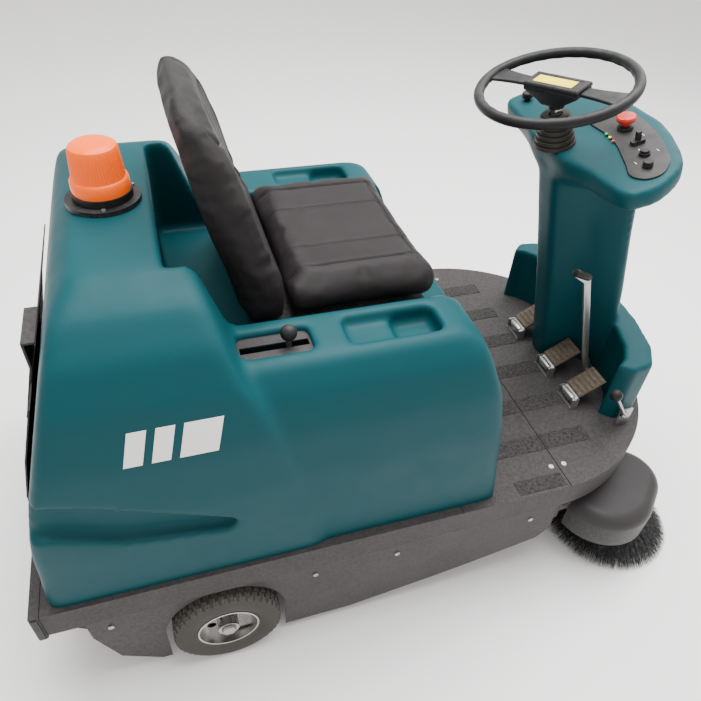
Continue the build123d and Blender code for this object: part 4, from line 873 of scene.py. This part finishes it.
def buildRollerBristles():
    low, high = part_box("main_brush")
    middle = (Vector(low) + Vector(high)) / 2
    roots, tips = [], []
    for row in range(roller["rows"]):
        for tuft in range(roller["tufts"]):
            across = roller["half"] * (2 * tuft / (roller["tufts"] - 1) - 1)
            angle = 2 * math.pi * row / roller["rows"] + 0.9 * abs(across) / roller["half"]
            for _ in range(roller["perTuft"]):
                swing = angle + noise.normal(0, 0.05)
                reach = roller["tip"] - abs(noise.normal(0, 0.003))
                shift = across + noise.normal(0, 0.003)
                shift = max(-roller["half"], min(roller["half"], shift))
                roots.append((middle.x + roller["core"] * math.sin(angle), middle.y + across,
                              middle.z + roller["core"] * math.cos(angle)))
                tips.append((middle.x + reach * math.sin(swing), middle.y + shift,
                             middle.z + reach * math.cos(swing)))
    tufts = bristleMesh("rollerBristles", roots, tips, roller["thickness"])
    deselectAll()
    bpy.ops.mesh.primitive_cylinder_add(vertices=48, radius=roller["core"] + 0.001,
                                        depth=2 * roller["half"] + 0.012, location=middle,
                                        rotation=(math.pi / 2, 0, 0))
    core = named("rollerCore", "blackPlastic")
    settle(core)
    bevelEdges(core, 0.003, 2)
    deselectAll()
    bpy.ops.mesh.primitive_cylinder_add(vertices=24, radius=0.012, depth=high[1] - low[1], location=middle,
                                        rotation=(math.pi / 2, 0, 0))
    axle = named("rollerAxle", "zincSteel")
    settle(axle)
    bevelEdges(axle, 0.002, 2)
    for piece, slotName in ((tufts, "bristle"), (core, "black_plastic"), (axle, "zinc_steel")):
        finishPiece(piece, "sweeping_brush", slotName, "main_brush")
        smoothShade(piece, 35)


buildDiscBristles()
buildRollerBristles()
print("bristles set")


# the steering wheel
helm = {"x": 0.4715, "z": 1.0735, "tilt": 14.37, "turn": 26, "radius": 0.153, "tube": 0.0108, "grips": 28,
        "spoke": [(0.030, 0.0165), (0.062, 0.0165), (0.095, 0.0190), (0.125, 0.0235), (0.147, 0.0290)],
        "spokeHigh": -0.002, "spokeThick": 0.0040, "pad": (0.0265, 0.0625), "boss": (0.022, 0.022, -0.034),
        "collar": (0.0168, 0.012, -0.038), "nut": (0.0135, 0.010, -0.0495),
        "label": (0.027, 0.088, 0.0008), "labelAt": (0, 0.004, 0.0088)}
helmTurn = (Matrix.Rotation(-math.radians(helm["tilt"]), 4, "Y")
            @ Matrix.Rotation(math.radians(helm["turn"]), 4, "Z"))


def onHelm(piece):
    # a piece drawn round the origin is laid on the steering axis
    piece.matrix_world = Matrix.Translation(at(helm["x"], 0, helm["z"])) @ helmTurn
    settle(piece)


def rectRing(half, wide, height):
    return [Vector((-half, -wide, height)), Vector((half, -wide, height)), Vector((half, wide, height)),
            Vector((-half, wide, height))]


def joinPieces(pieces, name):
    deselectAll()
    for piece in pieces:
        piece.select_set(True)
    bpy.context.view_layer.objects.active = pieces[0]
    bpy.ops.object.join()
    pieces[0].name = name
    return pieces[0]


def buildHelm():
    deselectAll()
    bpy.ops.mesh.primitive_torus_add(major_radius=helm["radius"], minor_radius=helm["tube"],
                                     major_segments=168, minor_segments=20, location=(0, 0, 0))
    rimPiece = named("helmRim", "blackPlastic")
    for vertex in rimPiece.data.vertices:
        # finger waves on the inner underside of the rim
        angle = math.atan2(vertex.co.y, vertex.co.x)
        flat = Vector((vertex.co.x, vertex.co.y, 0))
        centre = flat.normalized() * helm["radius"]
        out = vertex.co - centre
        if flat.length < helm["radius"]:
            vertex.co = centre + out * (1 - 0.07 * (0.5 + 0.5 * math.cos(angle * helm["grips"])))
    spokes = []
    for side in (-1, 1):
        rings = []
        for reach, half in helm["spoke"]:
            low = helm["spokeHigh"] - helm["spokeThick"]
            high = helm["spokeHigh"] + helm["spokeThick"]
            rings.append([Vector((-half * 0.8, side * reach, low)), Vector((half * 0.8, side * reach, low)),
                          Vector((half, side * reach, low * 0.4)), Vector((half * 0.9, side * reach, high)),
                          Vector((-half * 0.9, side * reach, high)),
                          Vector((-half, side * reach, low * 0.4))])
        spoke = loftRings("spoke", "blackPlastic", rings)
        bevelEdges(spoke, 0.0015, 2)
        spokes.append(spoke)
    half, wide = helm["pad"]
    foot, footWide, drop = helm["boss"]
    boss = loftRings("boss", "blackPlastic", [rectRing(foot, footWide, drop),
                                              rectRing(foot + 0.001, footWide + 0.012, drop + 0.010),
                                              rectRing(half, wide, -0.006), rectRing(half, wide, 0.001)])
    bevelEdges(boss, 0.003, 3)
    deselectAll()
    radius, deep, height = helm["collar"]
    bpy.ops.mesh.primitive_cylinder_add(vertices=48, radius=radius, depth=deep, location=(0, 0, height))
    collar = named("collar", "blackPlastic")
    settle(collar)
    bevelEdges(collar, 0.002, 3)
    wheel = joinPieces([rimPiece] + spokes + [boss, collar], "helmWheel")
    onHelm(wheel)
    smoothShade(wheel, 40)
    finishPiece(wheel, "steering", "black_plastic", "steering_wheel")
    # the narrow hub pad with its recessed label
    steps = ((0.0015, 1.0), (0.0070, 1.0), (0.0098, 0.90), (0.0098, 0.66), (0.0086, 0.64))
    rings = [rectRing(half * grow, wide * (0.5 + grow / 2), height) for height, grow in steps]
    pad = loftRings("helmPad", "blackPlastic", rings)
    bevelEdges(pad, 0.0010, 3)
    onHelm(pad)
    smoothShade(pad, 40)
    finishPiece(pad, "steering", "black_plastic", "steering_pad")
    deselectAll()
    bpy.ops.mesh.primitive_cube_add(size=1, location=helm["labelAt"], scale=helm["label"])
    label = named("helmLabel", "yellowLabel")
    settle(label)
    bevelEdges(label, 0.0003, 2)
    onHelm(label)
    finishPiece(label, "steering", "black_plastic")
    deselectAll()
    radius, deep, height = helm["nut"]
    bpy.ops.mesh.primitive_cylinder_add(vertices=6, radius=radius, depth=deep, location=(0, 0, height))
    nut = named("helmNut", "wheelSteel")
    settle(nut)
    bevelEdges(nut, 0.001, 2)
    onHelm(nut)
    smoothShade(nut, 30)
    finishPiece(nut, "steering", "zinc_steel")


buildHelm()
print("steering wheel made")


# the beacon's ribbed lens
beacon = {"x": -0.420, "base": 0.945, "ribs": 54}


def buildBeacon():
    rings = []
    tiers = [(0.000, 0.0505, 0), (0.004, 0.0510, 0), (0.019, 0.0510, 0), (0.023, 0.0490, 0),
             (0.025, 0.0465, 1), (0.040, 0.0452, 1), (0.060, 0.0437, 1), (0.074, 0.0425, 1),
             (0.080, 0.0400, 0), (0.084, 0.0340, 0), (0.0855, 0.0240, 0), (0.086, 0.010, 0)]
    count = beacon["ribs"] * 4
    for height, radius, ribbed in tiers:
        ring = []
        for step in range(count):
            angle = 2 * math.pi * step / count
            bulge = radius - (0.0009 if ribbed and step % 4 < 2 else 0)
            ring.append(at(beacon["x"] + bulge * math.cos(angle), bulge * math.sin(angle),
                           beacon["base"] + height))
        rings.append(ring)
    shape = bmesh.new()
    vertRings = [[shape.verts.new(place) for place in ring] for ring in rings]
    for lower, upper in zip(vertRings, vertRings[1:]):
        for step in range(count):
            after = (step + 1) % count
            shape.faces.new((lower[step], lower[after], upper[after], upper[step]))
    shape.faces.new(vertRings[0][::-1])
    shape.faces.new(vertRings[-1])
    bmesh.ops.recalc_face_normals(shape, faces=shape.faces)
    mesh = bpy.data.meshes.new("beaconLens")
    shape.to_mesh(mesh)
    shape.free()
    lens = linkPiece("beaconLens", mesh, "amberLens")
    smoothShade(lens, 30)
    finishPiece(lens, "chassis", "amber_lens", "beacon_lens")


buildBeacon()


# the pedals
pedal = {"heel": (0.607, 0.356), "tilt": 30, "width": 0.060, "start": 0.013, "end": 0.091, "low": 0.004,
         "thick": 0.0065,
         "middles": {"drive": -0.198, "brake": -0.080, "flap": 0.084}, "ribs": 6,
         "plate": (0.090, 0.054, 0.0036), "plateAt": (0.046, 0, 0.002), "bush": (0.009, 0.040)}


def buildPedal(name, middle):
    turn = Matrix.Rotation(-math.radians(pedal["tilt"]), 4, "Y")
    place = Matrix.Translation(at(pedal["heel"][0], middle, pedal["heel"][1])) @ turn
    deselectAll()
    length = pedal["end"] - pedal["start"]
    middle = ((pedal["end"] + pedal["start"]) / 2, 0, pedal["low"] + pedal["thick"] / 2)
    bpy.ops.mesh.primitive_cube_add(size=1, location=middle, scale=(length, pedal["width"], pedal["thick"]))
    pad = named(name + "Pad", "pedalRubber")
    settle(pad)
    bevelEdges(pad, 0.002, 3)
    ribs = []
    for number in range(pedal["ribs"]):
        along = pedal["start"] + length * (number + 0.5) / pedal["ribs"]
        bpy.ops.mesh.primitive_cube_add(size=1, location=(along, 0, pedal["low"] + pedal["thick"] + 0.0004),
                                        scale=(length / pedal["ribs"] * 0.55, pedal["width"] - 0.008, 0.0018))
        rib = named("rib", "pedalRubber")
        settle(rib)
        bevelEdges(rib, 0.0006, 2)
        ribs.append(rib)
    pad = joinPieces([pad] + ribs, name + "Pad")
    pad.matrix_world = place
    settle(pad)
    smoothShade(pad, 40)
    finishPiece(pad, name + "_pedal", "pedal_rubber", name + "_pedal")
    deselectAll()
    bpy.ops.mesh.primitive_cube_add(size=1, location=pedal["plateAt"], scale=pedal["plate"])
    plate = named(name + "Plate", "zincSteel")
    settle(plate)
    bevelEdges(plate, 0.001, 2)
    bpy.ops.mesh.primitive_cylinder_add(vertices=32, radius=pedal["bush"][0], depth=pedal["bush"][1],
                                        location=(0, 0, 0), rotation=(math.pi / 2, 0, 0))
    bush = named(name + "Bush", "zincSteel")
    settle(bush)
    bevelEdges(bush, 0.001, 2)
    plate = joinPieces([plate, bush], name + "Plate")
    plate.matrix_world = place
    settle(plate)
    smoothShade(plate, 40)
    finishPiece(plate, name + "_pedal", "zinc_steel", name + "_pedal")


for pedalName, pedalMiddle in pedal["middles"].items():
    buildPedal(pedalName, pedalMiddle)
print("beacon and pedals made")


# levers and knobs
def turnedRod(name, finishName, start, end, radius, sides=24):
    deselectAll()
    start = Vector(start)
    end = Vector(end)
    bpy.ops.mesh.primitive_cylinder_add(vertices=sides, radius=radius, depth=(end - start).length,
                                        location=(0, 0, 0))
    rod = named(name, finishName)
    bevelEdges(rod, radius * 0.3, 2)
    turn = (end - start).to_track_quat("Z", "Y").to_matrix().to_4x4()
    rod.matrix_world = Matrix.Translation((start + end) / 2) @ turn
    settle(rod)
    smoothShade(rod, 40)
    return rod


def ballKnob(name, place, radius, along):
    # a ball, flattened where the rod goes in
    deselectAll()
    bpy.ops.mesh.primitive_uv_sphere_add(segments=48, ring_count=28, radius=radius, location=(0, 0, 0))
    knob = named(name, "blackPlastic")
    for vertex in knob.data.vertices:
        if vertex.co.z < -radius * 0.86:
            vertex.co.z = -radius * 0.86
    knob.matrix_world = Matrix.Translation(place) @ Vector(along).to_track_quat("Z", "Y").to_matrix().to_4x4()
    settle(knob)
    smoothShade(knob, 50)
    return knob


# ends of the rods and middles of the balls, and the radii
lever = {"ball": 0.0149,
         "brush": {"low": (-0.150, -0.298, 0.634), "high": (-0.150, -0.298, 0.787),
                   "ballAt": (-0.150, -0.298, 0.797), "radius": 0.005},
         "side": {"low": (0.690, -0.312, 0.372), "high": (0.636, -0.312, 0.453),
                  "ballAt": (0.633, -0.312, 0.457), "radius": 0.0042, "along": (-0.56, 0, 0.83), "hub": 0.010,
                  "hubHalf": 0.0035}}


def buildLevers():
    ends = lever["brush"]
    rod = turnedRod("brushLeverRod", "darkSteel", at(*ends["low"]), at(*ends["high"]), ends["radius"])
    knob = ballKnob("brushLeverKnob", at(*ends["ballAt"]), lever["ball"], (0, 0, 1))
    for piece in (rod, knob):
        finishPiece(piece, "armrest_lever", "black_plastic", "brush_lever")
    ends = lever["side"]
    x, y, z = ends["low"]
    sideRod = turnedRod("sideLeverRod", "zincSteel", at(x, y, z), at(*ends["high"]), ends["radius"])
    sideKnob = ballKnob("sideLeverKnob", at(*ends["ballAt"]), lever["ball"], ends["along"])
    sideHub = turnedRod("sideLeverHub", "zincSteel", at(x, y - ends["hubHalf"], z),
                        at(x, y + ends["hubHalf"], z), ends["hub"])
    for piece in (sideRod, sideKnob, sideHub):
        finishPiece(piece, "side_lever", "black_plastic", "side_brush_lever")


parking = {"y": -0.150, "half": 0.003,
           "bar": [(0.706, 0.360), (0.692, 0.352), (0.676, 0.366), (0.653, 0.428), (0.571, 0.680),
                   (0.540, 0.702), (0.546, 0.720), (0.584, 0.698), (0.669, 0.432), (0.700, 0.378)],
           "gripStart": (0.582, 0.693), "gripEnd": (0.538, 0.713)}


def buildParkingLever():
    bar = prism("parkingBar", parking["bar"], "Y", parking["y"] - parking["half"],
                parking["y"] + parking["half"])
    bar.data.materials.clear()
    bar.data.materials.append(finishes["zincSteel"])
    bevelEdges(bar, 0.0012, 2)
    smoothShade(bar, 40)
    grip = turnedRod("parkingGrip", "blackPlastic",
                     at(parking["gripStart"][0], parking["y"], parking["gripStart"][1]),
                     at(parking["gripEnd"][0], parking["y"], parking["gripEnd"][1]), 0.0092)
    for piece, slotName in ((bar, "zinc_steel"), (grip, "black_plastic")):
        finishPiece(piece, "parking_brake", slotName, "parking_lever")


buildLevers()
buildParkingLever()


# the dash panel and what stands on it
dash = {"panel": [(0.153, 0.040), (0.150, -0.060), (0.120, -0.150), (0.102, -0.194), (0.116, -0.220),
                  (0.145, -0.224), (0.172, -0.210), (0.198, -0.180), (0.228, -0.108), (0.243, -0.026),
                  (0.240, 0.034), (0.196, 0.043)],
        "stop": (0.192, -0.043), "collar": (0.0168, 0.0030, 0.0118), "cap": (0.0199, 0.0205, 0.0343),
        "stem": (0.008, 0.0105, 0.022), "lamp": (0.0032, 0.003, 0.0062),
        "lamps": [(0.150, -0.040, "greenLamp"), (0.148, -0.056, "yellowLabel"),
                  (0.145, -0.072, "redPlastic")],
        "ticks": [(0.193, -0.150), (0.133, -0.166), (0.205, -0.085), (0.166, -0.130), (0.205, -0.020)]}


def dashDisc(name, finishName, place, radius, low, high, sides=32):
    start = onDash(*place, low)
    end = onDash(*place, high)
    return turnedRod(name, finishName, start, end, radius, sides)


def buildPanel():
    outline = curvedOutline(dash["panel"], 7)
    sheet = loftRings("dashSheet", "dashGrey", [[onDash(x, y, 0.0002) for x, y in outline],
                                                [onDash(x, y, 0.0038) for x, y in outline]])
    bevelEdges(sheet, 0.0008, 2)
    smoothShade(sheet, 40)
    collar = dashDisc("stopCollar", "blackPlastic", dash["stop"], *dash["collar"], 48)
    for piece in (sheet, collar):
        finishPiece(piece, "chassis", "black_plastic", "dash_panel")


def buildDash():
    buildPanel()
    cap = dashDisc("stopCap", "redPlastic", dash["stop"], *dash["cap"], 56)
    stem = dashDisc("stopStem", "redPlastic", dash["stop"], *dash["stem"])
    for piece in (cap, stem):
        finishPiece(piece, "stop_button", "red_plastic", "emergency_stop")
    for number, (forward, left, finishName) in enumerate(dash["lamps"]):
        lamp = dashDisc(f"dashLamp{number}", finishName, (forward, left), *dash["lamp"], 20)
        finishPiece(lamp, "chassis", "black_plastic")
    for number, (forward, left) in enumerate(dash["ticks"]):
        deselectAll()
        bpy.ops.mesh.primitive_cube_add(size=1, location=(0, 0, 0), scale=(0.0016, 0.008, 0.0005))
        tick = named(f"dashTick{number}", "whiteMark")
        bevelEdges(tick, 0.0002, 1)
        tick.matrix_world = Matrix.Translation(onDash(forward, left, 0.0041)) @ Matrix.Rotation(-tilt, 4, "Y")
        settle(tick)
        finishPiece(tick, "chassis", "black_plastic")


buildDash()
print("controls made")


# plain white flashes on the cover's sides
flash = {"bars": [(-0.448, 0.030), (-0.404, 0.030), (-0.360, 0.062)], "low": 0.682, "high": 0.744,
         "lean": 0.016, "thick": 0.0009}


def buildFlashes():
    # each flash is a thin sheet pressed onto the side of the cover
    shell = bpy.data.objects["coverShell"]
    bpy.context.view_layer.update()
    for side in (-1, 1):
        for number, (start, width) in enumerate(flash["bars"]):
            columns, rows = 10, 14
            outer, inner = [], []
            for row in range(rows + 1):
                height = flash["low"] + (flash["high"] - flash["low"]) * row / rows
                lean = flash["lean"] * row / rows
                for step in range(columns + 1):
                    x = start + lean + width * step / columns
                    origin = at(x, side * 0.6, height)
                    place, normal = shell.ray_cast(origin, Vector((0, -side, 0)))[1:3]
                    outer.append(place + normal * flash["thick"])
                    inner.append(place - normal * 0.0006)
            verts = outer + inner
            wide = columns + 1
            offset = len(outer)
            faces = []
            for row in range(rows):
                for step in range(columns):
                    a = row * wide + step
                    faces.append((a, a + 1, a + wide + 1, a + wide))
                    faces.append((offset + a, offset + a + wide, offset + a + wide + 1, offset + a + 1))
            edge = ([step for step in range(wide)] + [row * wide + columns for row in range(1, rows + 1)]
                    + [rows * wide + step for step in range(columns - 1, -1, -1)]
                    + [row * wide for row in range(rows - 1, 0, -1)])
            for a, b in zip(edge, edge[1:] + edge[:1]):
                faces.append((a, offset + a, offset + b, b))
            mesh = bpy.data.meshes.new(f"flash{number}")
            mesh.from_pydata([tuple(v) for v in verts], [], faces)
            piece = linkPiece(("flashRight" if side < 0 else "flashLeft") + str(number), mesh, "whiteMark")
            shape = bmesh.new()
            shape.from_mesh(mesh)
            bmesh.ops.recalc_face_normals(shape, faces=shape.faces)
            shape.to_mesh(mesh)
            shape.free()
            smoothShade(piece, 50)
            finishPiece(piece, "chassis", "teal_plastic")


buildFlashes()
print("flashes pressed on")
